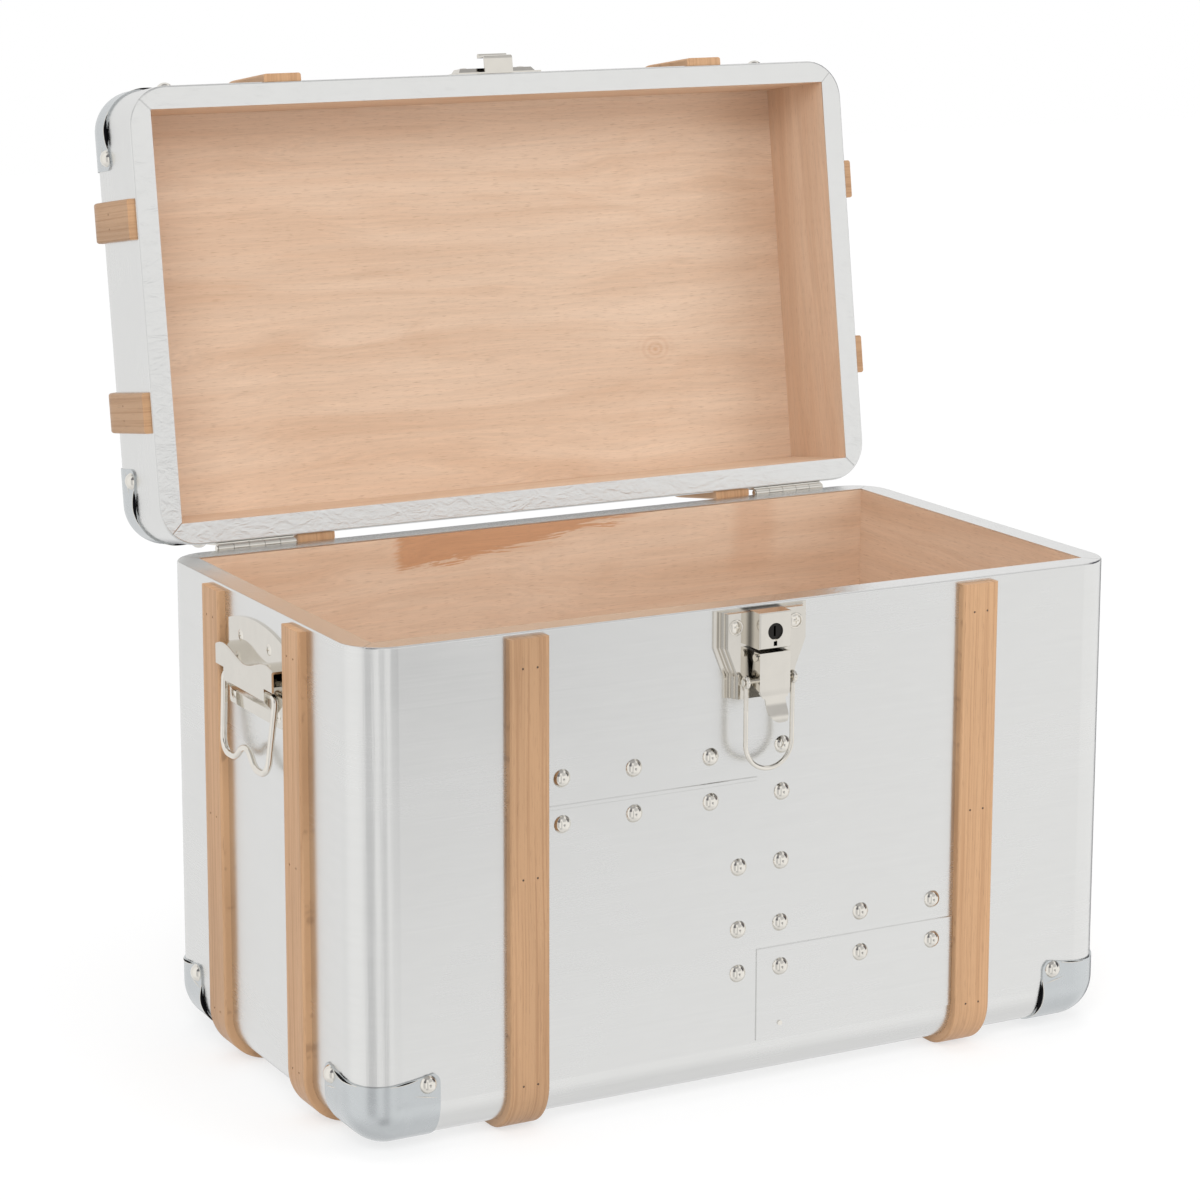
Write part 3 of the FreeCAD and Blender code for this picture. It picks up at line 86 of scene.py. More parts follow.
# Lengths are in metres.
BEND_RADIUS = 0.030          # bend of the sheet at each corner
CREASE_DROP = 0.0175         # from a cap's end to its crease
CREASE_SLOPE = 0.0035        # how far the crease nears that end along its run
CREASE_INSET = 0.0025        # from the lobe's side to the crease
CREASE_RUN = 0.017
SIDE_SLIT = (-0.031, -0.008, 0.34)    # first and last offset from the corner, place of the peak
FRONT_SLIT = (0.030, 0.015, 0.40)
LOBE_SLIT = (0.014, 0.036, 0.42)      # start below the lobe's end, run, place of the peak
SCREW_HEAD_RADIUS = 0.0042
RING_DEPTH = 0.0011          # how far the collars' middle lies behind the screws' fronts
KNOT_PLACE = (0.166, 0.054)
BASE_TONE, LID_TONE = 1.01, 0.965     # brightness of the plywood, as a factor
FLOOR_DROP = 0.0004
FLOOR_REACH = 6.0
DEGREES = 180.0 / math.pi    # degrees in one radian


# ---------------------------------------------------------------- settings

def colour_setting(name, description, default):
    return FloatVectorProperty(name=name, description=description, subtype="COLOR", size=3,
                               min=0.0, max=1.0, default=default)


def length_setting(name, description, default, least=0.0001):
    return FloatProperty(name=name, description=description, unit="LENGTH", min=least,
                         default=default)


class TrunkSheetSettings(bpy.types.PropertyGroup):
    colour: colour_setting(
        "Sheet colour", "Colour of the aluminium cladding", (0.775, 0.775, 0.762))
    roughness: FloatProperty(
        name="Roughness", description="Mean roughness of the rolled sheet",
        min=0.0, max=1.0, default=0.26)
    brush_pitch: length_setting("Brush pitch", "Mean distance between the rolling lines", 0.0007)
    blotch: length_setting(
        "Blotch size", "Width of the cloudy marks that handling leaves", 0.11, 0.001)
    wrinkle: length_setting(
        "Corner wrinkle", "Depth of the upright wrinkles where the sheet is bent", 0.00025, 0.0)


class TrunkWoodSettings(bpy.types.PropertyGroup):
    veneer: colour_setting("Veneer", "Pale face veneer of the plywood", (0.80, 0.615, 0.465))
    veneer_dark: colour_setting("Veneer figure", "Darker figure in the veneer", (0.60, 0.37, 0.225))
    stain: colour_setting(
        "Veneer stain", "Red-brown patch in the veneer of the back wall", (0.57, 0.29, 0.145))
    slat: colour_setting("Slat wood", "Colour of the bent slats", (0.60, 0.355, 0.19))
    slat_dark: colour_setting(
        "Slat grain", "Darker lines of the slats' grain", (0.37, 0.185, 0.085))
    grain_pitch: length_setting(
        "Grain pitch", "Mean distance between the slats' grain lines", 0.0016)


class TrunkFittingSettings(bpy.types.PropertyGroup):
    nickel: colour_setting(
        "Nickel", "Colour of the plated latch, hinges and handles", (0.80, 0.765, 0.70))
    nail: colour_setting("Nails", "Colour of the domed nails", (0.80, 0.77, 0.71))
    cap: colour_setting("Corner caps", "Colour of the pressed corner caps", (0.60, 0.625, 0.635))
    brad: colour_setting("Brads", "Colour of the small brads in the slats", (0.17, 0.13, 0.10))
    lock: colour_setting("Lock plug", "Colour of the darkened lock plug", (0.035, 0.033, 0.032))


class TrunkTrimSettings(bpy.types.PropertyGroup):
    slit_half: length_setting(
        "Slit half width", "Half width of the gap under a lifted cap edge", 0.0014)
    lip_radius: length_setting("Lip radius", "Radius of the bright lip over that gap", 0.0004)
    dip_radius: length_setting(
        "Cap dip radius", "Radius of the caps' dipping upper edge", 0.140, 0.01)
    dip: length_setting("Cap dip", "How far that edge dips at the corner", 0.006, 0.0)
    crease_radius: length_setting(
        "Crease radius", "Radius of the raised creases under the caps' nails", 0.00045)
    ring_radius: length_setting(
        "Ring radius", "Radius of the collars round the latch's screws", 0.0050, 0.001)
    ring_section: length_setting("Ring section", "Radius of the section of those collars", 0.0007)
    # The slit colour is painted shadow: it stands for the shade under the lifted cap edges.
    slit: colour_setting(
        "Slit colour", "Colour of the dark slits under lifted edges", (0.012, 0.012, 0.014))


class TrunkStageSettings(bpy.types.PropertyGroup):
    backdrop: colour_setting("Backdrop", "Colour behind the trunk", (1.0, 1.0, 1.0))
    floor: colour_setting("Floor", "Colour of the plain floor", (0.93, 0.93, 0.93))
    fill: FloatProperty(
        name="Fill light", description="Strength of the even light from all round",
        min=0.0, default=0.66)
    lamp_power: FloatProperty(
        name="Lamp power", description="Power of the main soft lamp in watts",
        min=0.0, default=40.0)
    azimuth: FloatProperty(
        name="Camera azimuth", description="Turn of the camera round the trunk, 0 in front",
        subtype="ANGLE", default=math.radians(-28.386))
    elevation: FloatProperty(
        name="Camera elevation", description="Height of the camera above the level",
        subtype="ANGLE", default=math.radians(11.169))
    roll: FloatProperty(
        name="Camera roll", description="Roll of the camera", subtype="ANGLE",
        default=math.radians(0.133))
    distance: FloatProperty(
        name="Camera distance", description="Distance from the trunk's middle",
        unit="LENGTH", default=2.6276)
    slide: FloatProperty(
        name="Camera slide", description="Sideways offset of the camera",
        unit="LENGTH", default=-0.02938)
    rise: FloatProperty(
        name="Camera rise", description="Upward offset of the camera",
        unit="LENGTH", default=0.21638)
    lens: FloatProperty(
        name="Lens", description="Focal length in millimetres", min=1.0, default=106.35)
    shift: FloatProperty(
        name="Vertical shift", description="Shift of the picture frame", default=-0.08333)


# ---------------------------------------------------------------- node helpers

class Web:
    """Puts nodes into one node tree and wires them as it goes."""

    def __init__(self, tree):
        self.tree = tree

    def feed(self, socket, value):
        if isinstance(value, bpy.types.NodeSocket):
            self.tree.links.new(value, socket)
        elif socket.type == "RGBA":
            socket.default_value = (*tuple(value)[:3], 1.0)
        else:
            socket.default_value = value

    def give(self, inputs, values):
        for name, value in values.items():
            self.feed(inputs[name], value)

    def put(self, kind, values=None, **settings):
        node = self.tree.nodes.new(kind)
        for name, value in settings.items():
            setattr(node, name, value)
        self.give(node.inputs, values or {})
        return node

    def got(self, kind, values=None, **settings):
        """The first output of a new node."""
        return self.put(kind, values, **settings).outputs[0]

    def sum(self, operation, a, b=0.0, c=0.0):
        node = self.put("ShaderNodeMath", operation=operation)
        for socket, value in zip(node.inputs, (a, b, c)):
            self.feed(socket, value)
        return node.outputs[0]

    def times(self, a, b):
        return self.sum("MULTIPLY", a, b)

    def plus(self, a, b):
        return self.sum("ADD", a, b)

    def less(self, a, b):
        return self.sum("SUBTRACT", a, b)

    def times_plus(self, a, b, c):
        return self.sum("MULTIPLY_ADD", a, b, c)

    def sway(self, value, size, middle):
        """The middle plus the value's distance from one half, times size."""
        return self.times_plus(self.less(value, 0.5), size, middle)

    def step(self, value, low, high, out_low=0.0, out_high=1.0):
        node = self.put("ShaderNodeMapRange", {"Value": value, "From Min": low, "From Max": high,
                                               "To Min": out_low, "To Max": out_high},
                        interpolation_type="SMOOTHSTEP")
        return node.outputs["Result"]

    def near(self, value, centre, half, soft):
        """1 within half of centre, falling to 0 over soft."""
        gap = self.sum("ABSOLUTE", self.less(value, centre))
        return self.step(gap, half, half + soft, 1.0, 0.0)

    def noise(self, vector, scale, detail=3.0, roughness=0.5, distortion=0.0):
        node = self.put("ShaderNodeTexNoise", {"Vector": vector, "Scale": scale, "Detail": detail,
                                               "Roughness": roughness, "Distortion": distortion})
        return node.outputs[0]

    def stretch(self, vector, scale, turn=(0.0, 0.0, 0.0), move=(0.0, 0.0, 0.0), kind="POINT"):
        values = {"Vector": vector, "Rotation": turn, "Scale": scale}
        if kind == "POINT":
            values["Location"] = move
        return self.got("ShaderNodeMapping", values, vector_type=kind)

    def split(self, vector):
        return self.put("ShaderNodeSeparateXYZ", {"Vector": vector}).outputs

    def join(self, x, y, z):
        node = self.put("ShaderNodeCombineXYZ")
        for socket, value in zip(node.inputs, (x, y, z)):
            self.feed(socket, value)
        return node.outputs[0]

    def tint(self, factor, a, b, mode="MIX"):
        node = self.put("ShaderNodeMix", data_type="RGBA", blend_type=mode)
        self.feed(node.inputs[0], factor)
        self.feed(node.inputs[6], a)
        self.feed(node.inputs[7], b)
        return node.outputs[2]

    def dim(self, colour, value):
        """The colour times one value."""
        node = self.put("ShaderNodeVectorMath", operation="SCALE")
        self.feed(node.inputs[0], colour)
        self.feed(node.inputs["Scale"], value)
        return node.outputs[0]

    def use(self, group, values):
        node = self.put("ShaderNodeGroup", node_tree=bpy.data.node_groups[group])
        self.give(node.inputs, values)
        return node.outputs


def new_group(name, inputs, outputs):
    """An empty shader group: inputs are (name, type, default), outputs are (name, type)."""
    tree = bpy.data.node_groups.new(name, "ShaderNodeTree")
    for label, kind, default in inputs:
        socket = tree.interface.new_socket(label, in_out="INPUT", socket_type="NodeSocket" + kind)
        if default is not None:
            socket.default_value = default
    for label, kind in outputs:
        tree.interface.new_socket(label, in_out="OUTPUT", socket_type="NodeSocket" + kind)
    web = Web(tree)
    return web, web.put("NodeGroupInput").outputs, web.put("NodeGroupOutput").inputs


def new_material(name):
    """A material, its Web and the inputs of its Principled shader."""
    material = bpy.data.materials.new(name)
    material.use_nodes = True
    tree = material.node_tree
    tree.nodes.clear()
    web = Web(tree)
    shader = web.put("ShaderNodeBsdfPrincipled")
    output = web.put("ShaderNodeOutputMaterial")
    tree.links.new(shader.outputs[0], output.inputs["Surface"])
    return material, web, shader.inputs


def places(web, on_lid=False):
    """Object coordinates and normal, turned to the shut lid's frame for the lid's pieces."""
    where = web.put("ShaderNodeTexCoord").outputs
    if not on_lid:
        return where["Object"], where["Normal"]
    point = web.stretch(where["Object"], (1, 1, 1), turn=(LID_OPEN, 0, 0),
                        move=tuple(SHUT.translation))
    facing = web.stretch(where["Normal"], (1, 1, 1), turn=(LID_OPEN, 0, 0), kind="VECTOR")
    return point, facing


def shaded(colour, factor):
    """The colour times a plain number."""
    return tuple(part * factor for part in colour)


def bump(web, height, strength, distance, under=None):
    """The normal of a bump, laid over an earlier one where that is given."""
    values = {"Strength": strength, "Distance": distance, "Height": height}
    if under is not None:
        values["Normal"] = under
    return web.got("ShaderNodeBump", values)


def paint(names, material):
    """Gives the named solids this material in every slot."""
    for name in names:
        piece = frame["nodes"][name]
        if not piece.material_slots:
            piece.data.materials.append(material)
        for holder in piece.material_slots:
            holder.material = material


# ---------------------------------------------------------------- shared effects

def build_rolled_sheet():
    """Rolling lines, cloudy marks and the wrinkles of a bent corner."""
    web, given, out = new_group(
        "Rolled sheet",
        [("Place", "Vector", None), ("Facing", "Vector", None), ("Pitch", "Float", 0.0007),
         ("Blotch", "Float", 0.1), ("Rim", "Float", 0.355), ("Half width", "Float", 0.305),
         ("Half depth", "Float", 0.169)],
        [("Shade", "Float"), ("Gloss", "Float"), ("Lines", "Float"), ("Wrinkle", "Float"),
         ("Wave", "Float"), ("Crumple", "Float")])
    facing = web.split(given["Facing"])
    flat = web.step(web.sum("ABSOLUTE", facing["Z"]), 0.6, 0.8)
    place = web.split(given["Place"])
    rate = web.sum("DIVIDE", 1.0, given["Pitch"])
    upright = web.join(web.times(place["X"], 3.0), web.times(place["Y"], 3.0),
                       web.times(place["Z"], rate))
    level = web.join(web.times(place["X"], 3.0), web.times(place["Y"], rate),
                     web.times(place["Z"], 3.0))
    lines = web.put("ShaderNodeMix", data_type="FLOAT")
    web.feed(lines.inputs[0], flat)
    web.feed(lines.inputs[2], web.noise(upright, 1.0, 4.0, 0.62))
    web.feed(lines.inputs[3], web.noise(level, 1.0, 4.0, 0.62))
    lines = lines.outputs[0]
    scale = web.sum("DIVIDE", 1.0, given["Blotch"])
    cloud = web.noise(web.stretch(given["Place"], (1.0, 1.0, 1.6)), scale, 5.0, 0.55, 0.4)
    fine = web.noise(web.stretch(given["Place"], (1.0, 1.0, 4.0)), 45.0, 4.0, 0.6)
    bend = web.step(web.sum("ABSOLUTE", web.times(facing["X"], facing["Y"])), 0.04, 0.30)
    streak = web.noise(web.stretch(given["Place"], (240.0, 240.0, 7.0)), 1.0, 3.0, 0.6)
    shade = web.sway(lines, 0.07, 1.0)
    shade = web.sway(cloud, 0.08, shade)
    shade = web.sway(fine, 0.04, shade)
    gloss = web.sway(cloud, 0.14, web.times(web.less(lines, 0.5), 0.06))
    on_rim = web.times(flat, web.near(place["Z"], given["Rim"], 0.0012, 0.0008))
    side_x = web.less(web.sum("ABSOLUTE", place["X"]), given["Half width"])
    side_y = web.less(web.sum("ABSOLUTE", place["Y"]), given["Half depth"])
    mitre = web.near(web.less(side_x, side_y), 0.0, 0.0002, 0.0009)
    mitre = web.times(mitre, on_rim)
    crumple = web.noise(web.stretch(given["Place"], (1.0, 1.6, 1.0)), 70.0, 4.0, 0.6, 2.2)
    crumple = web.less(web.times(crumple, on_rim), web.times(mitre, 0.8))
    shade = web.times_plus(mitre, -0.10, shade)
    gloss = web.times_plus(on_rim, -0.05, gloss)
    web.give(out, {"Crumple": crumple, "Shade": shade, "Gloss": gloss, "Lines": lines,
                   "Wrinkle": web.times(bend, streak),
                   "Wave": web.noise(given["Place"], 9.0, 1.0, 0.4)})


def build_slat_grain():
    """Straight grain that runs the length of a slat. Across is the place along X."""
    web, given, out = new_group(
        "Slat grain",
        [("Place", "Vector", None), ("Pitch", "Float", 0.0016)],
        [("Figure", "Float"), ("Pores", "Float"), ("Tone", "Float")])
    place = web.split(given["Place"])
    rate = web.sum("DIVIDE", 1.0, given["Pitch"])
    drift = web.noise(web.stretch(given["Place"], (6.0, 3.0, 3.0)), 1.0, 2.0, 0.5)
    across = web.times_plus(drift, 0.010, place["X"])
    along_y = web.times(place["Y"], 5.0)
    along_z = web.times(place["Z"], 5.0)
    figure = web.noise(web.join(web.times(across, rate), along_y, along_z), 1.0, 5.0, 0.6)
    narrow = web.join(web.times(across, 2600.0), web.times(place["Y"], 70.0),
                      web.times(place["Z"], 70.0))
    pores = web.noise(narrow, 1.0, 2.0, 0.5)
    tone = web.noise(web.stretch(given["Place"], (22.0, 4.0, 4.0)), 1.0, 3.0, 0.5)
    web.give(out, {"Figure": web.step(figure, 0.42, 0.68), "Pores": web.step(pores, 0.60, 0.72),
                   "Tone": tone})


def build_rotary_veneer():
    """Flowing figure and short fibre flecks of a peeled veneer whose grain runs along X."""
    web, given, out = new_group(
        "Rotary veneer",
        [("Place", "Vector", None), ("Figure size", "Float", 0.12)],
        [("Figure", "Float"), ("Flecks", "Float"), ("Stain", "Float"), ("Fibre", "Float"),
         ("Flow", "Float"), ("Streaks", "Float")])
    scale = web.sum("DIVIDE", 1.0, given["Figure size"])
    flow = web.noise(web.stretch(given["Place"], (0.35, 1.7, 1.7)), scale, 2.0, 0.5, 0.6)
    place = web.split(given["Place"])
    bent = web.join(place["X"], web.times_plus(flow, 0.05, place["Y"]),
                    web.times_plus(flow, 0.05, place["Z"]))
    bands = web.noise(web.stretch(bent, (2.2, 46.0, 46.0)), 1.0, 4.0, 0.55)
    figure = web.plus(web.times(web.step(flow, 0.38, 0.72), 0.55),
                      web.times(web.step(bands, 0.35, 0.75), 0.45))
    flecks = web.noise(web.stretch(given["Place"], (110.0, 1500.0, 1500.0)), 1.0, 2.0, 0.5)
    fibre = web.noise(web.stretch(bent, (14.0, 500.0, 500.0)), 1.0, 4.0, 0.6)
    streaks = web.noise(web.stretch(bent, (2.5, 60.0, 60.0)), 1.0, 3.0, 0.55, 0.9)
    stain = web.noise(web.stretch(given["Place"], (1.0, 3.2, 3.2)), 5.5, 4.0, 0.6, 1.2)
    web.give(out, {"Figure": figure, "Flecks": web.step(flecks, 0.56, 0.74),
                   "Stain": web.step(stain, 0.56, 0.66), "Fibre": fibre, "Flow": flow,
                   "Streaks": web.step(streaks, 0.50, 0.66)})


def build_plating():
    """Smudges, hairline scratches and the soft unevenness of plated steel."""
    web, given, out = new_group(
        "Plating",
        [("Place", "Vector", None), ("Size", "Float", 0.02)],
        [("Smudge", "Float"), ("Scratch", "Float"), ("Wave", "Float")])
    scale = web.sum("DIVIDE", 1.0, given["Size"])
    smudge = web.noise(given["Place"], scale, 5.0, 0.6, 0.8)
    turned = web.stretch(given["Place"], (1.0, 1.0, 1.0), turn=(0.4, 0.9, 0.3))
    scratch = web.noise(web.stretch(turned, (2600.0, 90.0, 90.0)), 1.0, 2.0, 0.5)
    web.give(out, {"Smudge": smudge, "Scratch": web.step(scratch, 0.66, 0.78),
                   "Wave": web.noise(given["Place"], web.times(scale, 1.5), 2.0, 0.4)})


# ---------------------------------------------------------------- materials

def sheet_material(name, settings, on_lid=False, tone=1.0):
    """Aluminium sheet with rolling lines, clouding and wrinkled bends."""
    material, web, shader = new_material(name)
    place, facing = places(web, on_lid)
    rolled = web.use("Rolled sheet", {
        "Place": place, "Facing": facing, "Pitch": settings.brush_pitch, "Blotch": settings.blotch,
        "Rim": LID_LOW.z if on_lid else BASE_HIGH.z, "Half width": BASE_HIGH.x,
        "Half depth": BASE_HIGH.y})
    web.feed(shader["Base Color"], web.dim(shaded(settings.colour, tone), rolled["Shade"]))
    shader["Metallic"].default_value = 1.0
    web.feed(shader["Roughness"], web.plus(rolled["Gloss"], settings.roughness))
    normal = bump(web, rolled["Wave"], 0.22, 0.0008)
    normal = bump(web, rolled["Wrinkle"], 0.7, settings.wrinkle, normal)
    normal = bump(web, rolled["Crumple"], 0.4, 0.0005, normal)
    web.feed(shader["Normal"], bump(web, rolled["Lines"], 0.08, 0.00002, normal))
    return material


def veneer_material(name, settings, turned=False, on_lid=False, extra=None):
    """Peeled plywood veneer. Turned veneer has its grain along the trunk's depth."""
    material, web, shader = new_material(name)
    seat = places(web, on_lid)[0]
    place = web.stretch(seat, (1, 1, 1), turn=(0, 0, math.pi / 2)) if turned else seat
    veneer = web.use("Rotary veneer", {"Place": place, "Figure size": 0.13})
    wood = web.tint(web.times(veneer["Figure"], 0.60), settings.veneer, settings.veneer_dark)
    wood = web.tint(web.times(veneer["Streaks"], 0.17), wood, settings.veneer_dark)
    wood = web.tint(web.times(veneer["Stain"], 0.16), wood, settings.veneer_dark)
    if extra:
        wood = extra(web, web.split(seat), veneer, wood, settings)
    wood = web.tint(web.times(veneer["Flecks"], 0.46), wood,
                    shaded(settings.veneer_dark, 0.72))
    wood = web.dim(wood, web.sway(veneer["Fibre"], 0.30, LID_TONE if on_lid else BASE_TONE))
    web.feed(shader["Base Color"], wood)
    web.feed(shader["Roughness"], web.times_plus(veneer["Fibre"], 0.14, 0.46))
    web.feed(shader["Normal"], bump(web, veneer["Fibre"], 0.25, 0.00012))
    return material


def back_stain(web, place, veneer, wood, settings):
    """A long red-brown patch under the rim, and a paler one near the right end."""
    ragged = web.times(web.less(veneer["Fibre"], 0.5), 0.030)
    ragged = web.sway(veneer["Flow"], 0.03, ragged)
    along = web.plus(place["X"], web.times(ragged, 0.6))
    edge = web.times_plus(web.step(along, -0.10, 0.10), 0.022, BASE_HIGH.z - 0.030)
    patch = web.step(web.plus(place["Z"], ragged), edge, web.plus(edge, 0.003))
    patch = web.times(patch, web.step(along, -0.131, -0.122))
    patch = web.times(patch, web.step(along, 0.055, 0.095, 1.0, 0.0))
    pale = web.near(along, 0.185, 0.010, 0.016)
    pale = web.times(pale, web.step(place["Z"], BASE_HIGH.z - 0.075, BASE_HIGH.z - 0.03))
    shade = web.sum("MAXIMUM", web.times(patch, 0.85), web.times(pale, 0.28))
    return web.tint(shade, wood, settings.stain)


def lid_knot(web, place, veneer, wood, settings):
    """One small pin knot with its rings."""
    off_x = web.times(web.less(place["X"], KNOT_PLACE[0]), 0.75)
    off_y = web.less(place["Y"], KNOT_PLACE[1])
    reach = web.sum("SQRT", web.plus(web.times(off_x, off_x), web.times(off_y, off_y)))
    reach = web.sway(veneer["Flow"], 0.012, reach)
    rings = web.times_plus(web.sum("SINE", web.times(reach, 1500.0)), 0.5, 0.5)
    rings = web.times(rings, web.step(reach, 0.004, 0.017, 1.0, 0.0))
    heart = web.step(reach, 0.001, 0.004, 1.0, 0.0)
    shade = web.sum("MAXIMUM", web.times(rings, 0.30), web.times(heart, 0.55))
    return web.tint(shade, wood, settings.stain)


def slat_material(name, settings, side=False, on_lid=False, tone=1.0):
    """Oiled bent hardwood. A side slat's width lies along the trunk's depth."""
    material, web, shader = new_material(name)
    place = places(web, on_lid)[0]
    if side:
        place = web.stretch(place, (1, 1, 1), turn=(0, 0, math.pi / 2))
    grain = web.use("Slat grain", {"Place": place, "Pitch": settings.grain_pitch})
    wood = web.tint(web.times(grain["Figure"], 0.46), settings.slat, settings.slat_dark)
    wood = web.tint(web.times(grain["Pores"], 0.40), wood,
                    shaded(settings.slat_dark, 0.6))
    wood = web.dim(wood, web.sway(grain["Tone"], 0.45, tone))
    web.feed(shader["Base Color"], wood)
    web.feed(shader["Roughness"], web.times_plus(grain["Figure"], 0.12, 0.44))
    web.feed(shader["Normal"], bump(web, grain["Figure"], 0.25, 0.00015))
    return material


def plated_material(name, colour, roughness, size, on_lid=False, painted_shade=None):
    """Plated steel with smudges and hairline scratches; the last argument gives a mask of recesses
    where the colour is darkened as painted shade and the finish dulled.
    """
    material, web, shader = new_material(name)
    place = places(web, on_lid)[0]
    plating = web.use("Plating", {"Place": place, "Size": size})
    tone = web.sway(plating["Smudge"], 0.16, 1.0)
    rough = web.times_plus(web.step(plating["Smudge"], 0.42, 0.70), 0.06, roughness)
    if painted_shade:
        mask = painted_shade(web, web.split(place))
        # painted shade: the mask darkens the colour by up to 72 per cent
        tone = web.times(tone, web.times_plus(mask, -0.72, 1.0))
        rough = web.times_plus(mask, 0.15, rough)
    web.feed(shader["Base Color"], web.dim(tuple(colour), tone))
    shader["Metallic"].default_value = 1.0
    web.feed(shader["Roughness"], web.times_plus(plating["Scratch"], 0.12, rough))
    web.feed(shader["Normal"], bump(web, plating["Wave"], 0.20, 0.0003))
    return material


def latch_painted_shade(web, place):
    """Painted shade on the latch plate, which also dulls its finish: beside the lock case and under
    the lever.
    """
    low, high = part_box("lock_case")
    side = web.less(web.sum("ABSOLUTE", place["X"]), high.x)
    beside = web.times(web.step(side, 0.0, 0.0045, 1.0, 0.0),
                       web.step(place["Z"], low.z - 0.026, low.z - 0.018))
    inside = web.sum("LESS_THAN", side, 0.0)
    return web.sum("MAXIMUM", beside, web.times(inside, 0.9))


# ---------------------------------------------------------------- geometry trees

def new_maker(name, inputs):
    """An empty geometry tree: inputs are (name, type, default)."""
    tree = bpy.data.node_groups.new(name, "GeometryNodeTree")
    tree.is_modifier = True
    tree.interface.new_socket("Geometry", in_out="INPUT", socket_type="NodeSocketGeometry")
    for label, kind, default in inputs:
        socket = tree.interface.new_socket(label, in_out="INPUT", socket_type="NodeSocket" + kind)
        if default is not None:
            socket.default_value = default
    tree.interface.new_socket("Geometry", in_out="OUTPUT", socket_type="NodeSocketGeometry")
    web = Web(tree)
    return web, web.put("NodeGroupInput").outputs, web.put("NodeGroupOutput").inputs[0]


def finish_maker(web, shape, material, out):
    """Ends a tree: smooth faces, real geometry, one material."""
    smooth = web.got("GeometryNodeSetShadeSmooth", {"Geometry": shape})
    real = web.got("GeometryNodeRealizeInstances", {"Geometry": smooth})
    covered = web.put("GeometryNodeSetMaterial", {"Geometry": real, "Material": material})
    web.feed(out, covered.outputs[0])


def named(web, label, kind="FLOAT_VECTOR"):
    """A point attribute that wire_host wrote."""
    return web.got("GeometryNodeInputNamedAttribute", {"Name": label}, data_type=kind)


def build_bead_maker():
    """Sweeps a round bead along each run; its thickness and its place follow the run's lift."""
    web, given, out = new_maker("Swept bead", [
        ("Radius", "Float", 0.0005), ("Taper", "Float", 0.0), ("Across", "Float", 0.0),
        ("Outward", "Float", 0.0), ("Material", "Material", None)])
    lift, across, outward = named(web, "lift", "FLOAT"), named(web, "across"), named(web, "outward")
    move = web.put("ShaderNodeVectorMath", operation="ADD")
    web.feed(move.inputs[0], web.dim(across, web.times(lift, given["Across"])))
    web.feed(move.inputs[1], web.dim(outward, web.times(lift, given["Outward"])))
    moved = web.got("GeometryNodeSetPosition", {"Geometry": given["Geometry"],
                                                "Offset": move.outputs[0]})
    curve = web.got("GeometryNodeMeshToCurve", {"Mesh": moved})
    thin = web.times_plus(web.less(lift, 1.0), given["Taper"], 1.0)
    radius = web.sum("MAXIMUM", web.times(thin, given["Radius"]), 0.00002)
    ring = web.got("GeometryNodeCurvePrimitiveCircle", {"Resolution": 10, "Radius": 1.0})
    bead = web.got("GeometryNodeCurveToMesh", {"Curve": curve, "Profile Curve": ring,
                                               "Scale": radius, "Fill Caps": True})
    finish_maker(web, bead, given["Material"], out)


def build_ring_maker():
    """Sets one round collar on each point, facing outwards."""
    web, given, out = new_maker("Set rings", [
        ("Radius", "Float", 0.005), ("Section", "Float", 0.0007), ("Material", "Material", None)])
    outward = named(web, "outward")
    path = web.got("GeometryNodeCurvePrimitiveCircle", {"Resolution": 40,
                                                        "Radius": given["Radius"]})
    ring = web.got("GeometryNodeCurvePrimitiveCircle", {"Resolution": 12,
                                                        "Radius": given["Section"]})
    collar = web.got("GeometryNodeCurveToMesh", {"Curve": path, "Profile Curve": ring})
    turn = web.got("FunctionNodeAlignRotationToVector", {"Vector": outward}, axis="Z")
    points = web.got("GeometryNodeMeshToPoints", {"Mesh": given["Geometry"]})
    rings = web.got("GeometryNodeInstanceOnPoints", {"Points": points, "Instance": collar,
                                                     "Rotation": turn})
    finish_maker(web, rings, given["Material"], out)


def wire_host(name, runs):
    """A wire mesh of open runs; each point is (place, outward, across, lift)."""
    points, edges = [], []
    for run in runs:
        first = len(points)
        points += run
        edges += [(first + i, first + i + 1) for i in range(len(run) - 1)]
    mesh = bpy.data.meshes.new(name)
    mesh.from_pydata([point[0] for point in points], edges, [])
    for column, label in ((1, "outward"), (2, "across")):
        layer = mesh.attributes.new(label, "FLOAT_VECTOR", "POINT")
        for item, point in zip(layer.data, points):
            item.vector = point[column]
    layer = mesh.attributes.new("lift", "FLOAT", "POINT")
    for item, point in zip(layer.data, points):
        item.value = point[3]
    return mesh


def grow(name, runs, maker, values, body, opened=False):
    """Runs a geometry tree over the runs and keeps its result as one plain mesh on a body."""
    tree = bpy.data.node_groups[maker]
    host = bpy.data.objects.new(name + "_host", wire_host(name + "_host", runs))
    bpy.context.scene.collection.objects.link(host)
    modifier = host.modifiers.new(maker, "NODES")
    modifier.node_group = tree
    for item in tree.interface.items_tree:
        if item.item_type == "SOCKET" and item.in_out == "INPUT" and item.name in values:
            modifier[item.identifier] = values[item.name]
    ready = host.evaluated_get(bpy.context.evaluated_depsgraph_get())
    mesh = bpy.data.meshes.new_from_object(ready)
    bpy.data.objects.remove(host)
    if not mesh.polygons:
        raise RuntimeError(name + " came out empty")
    shape = bmesh.new()
    shape.from_mesh(mesh)
    bmesh.ops.recalc_face_normals(shape, faces=shape.faces)
    shape.to_mesh(mesh)
    shape.free()
    if opened:
        mesh.transform(SHUT.inverted())
    mesh.name = name
    piece = bpy.data.objects.new(name, mesh)
    bpy.context.scene.collection.objects.link(piece)
    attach(piece, body)
    return piece


# ---------------------------------------------------------------- the caps' edges

CAPS = [(place, end, hand) for place in ("base", "lid")
        for end in ("front", "rear") for hand in ("left", "right")]


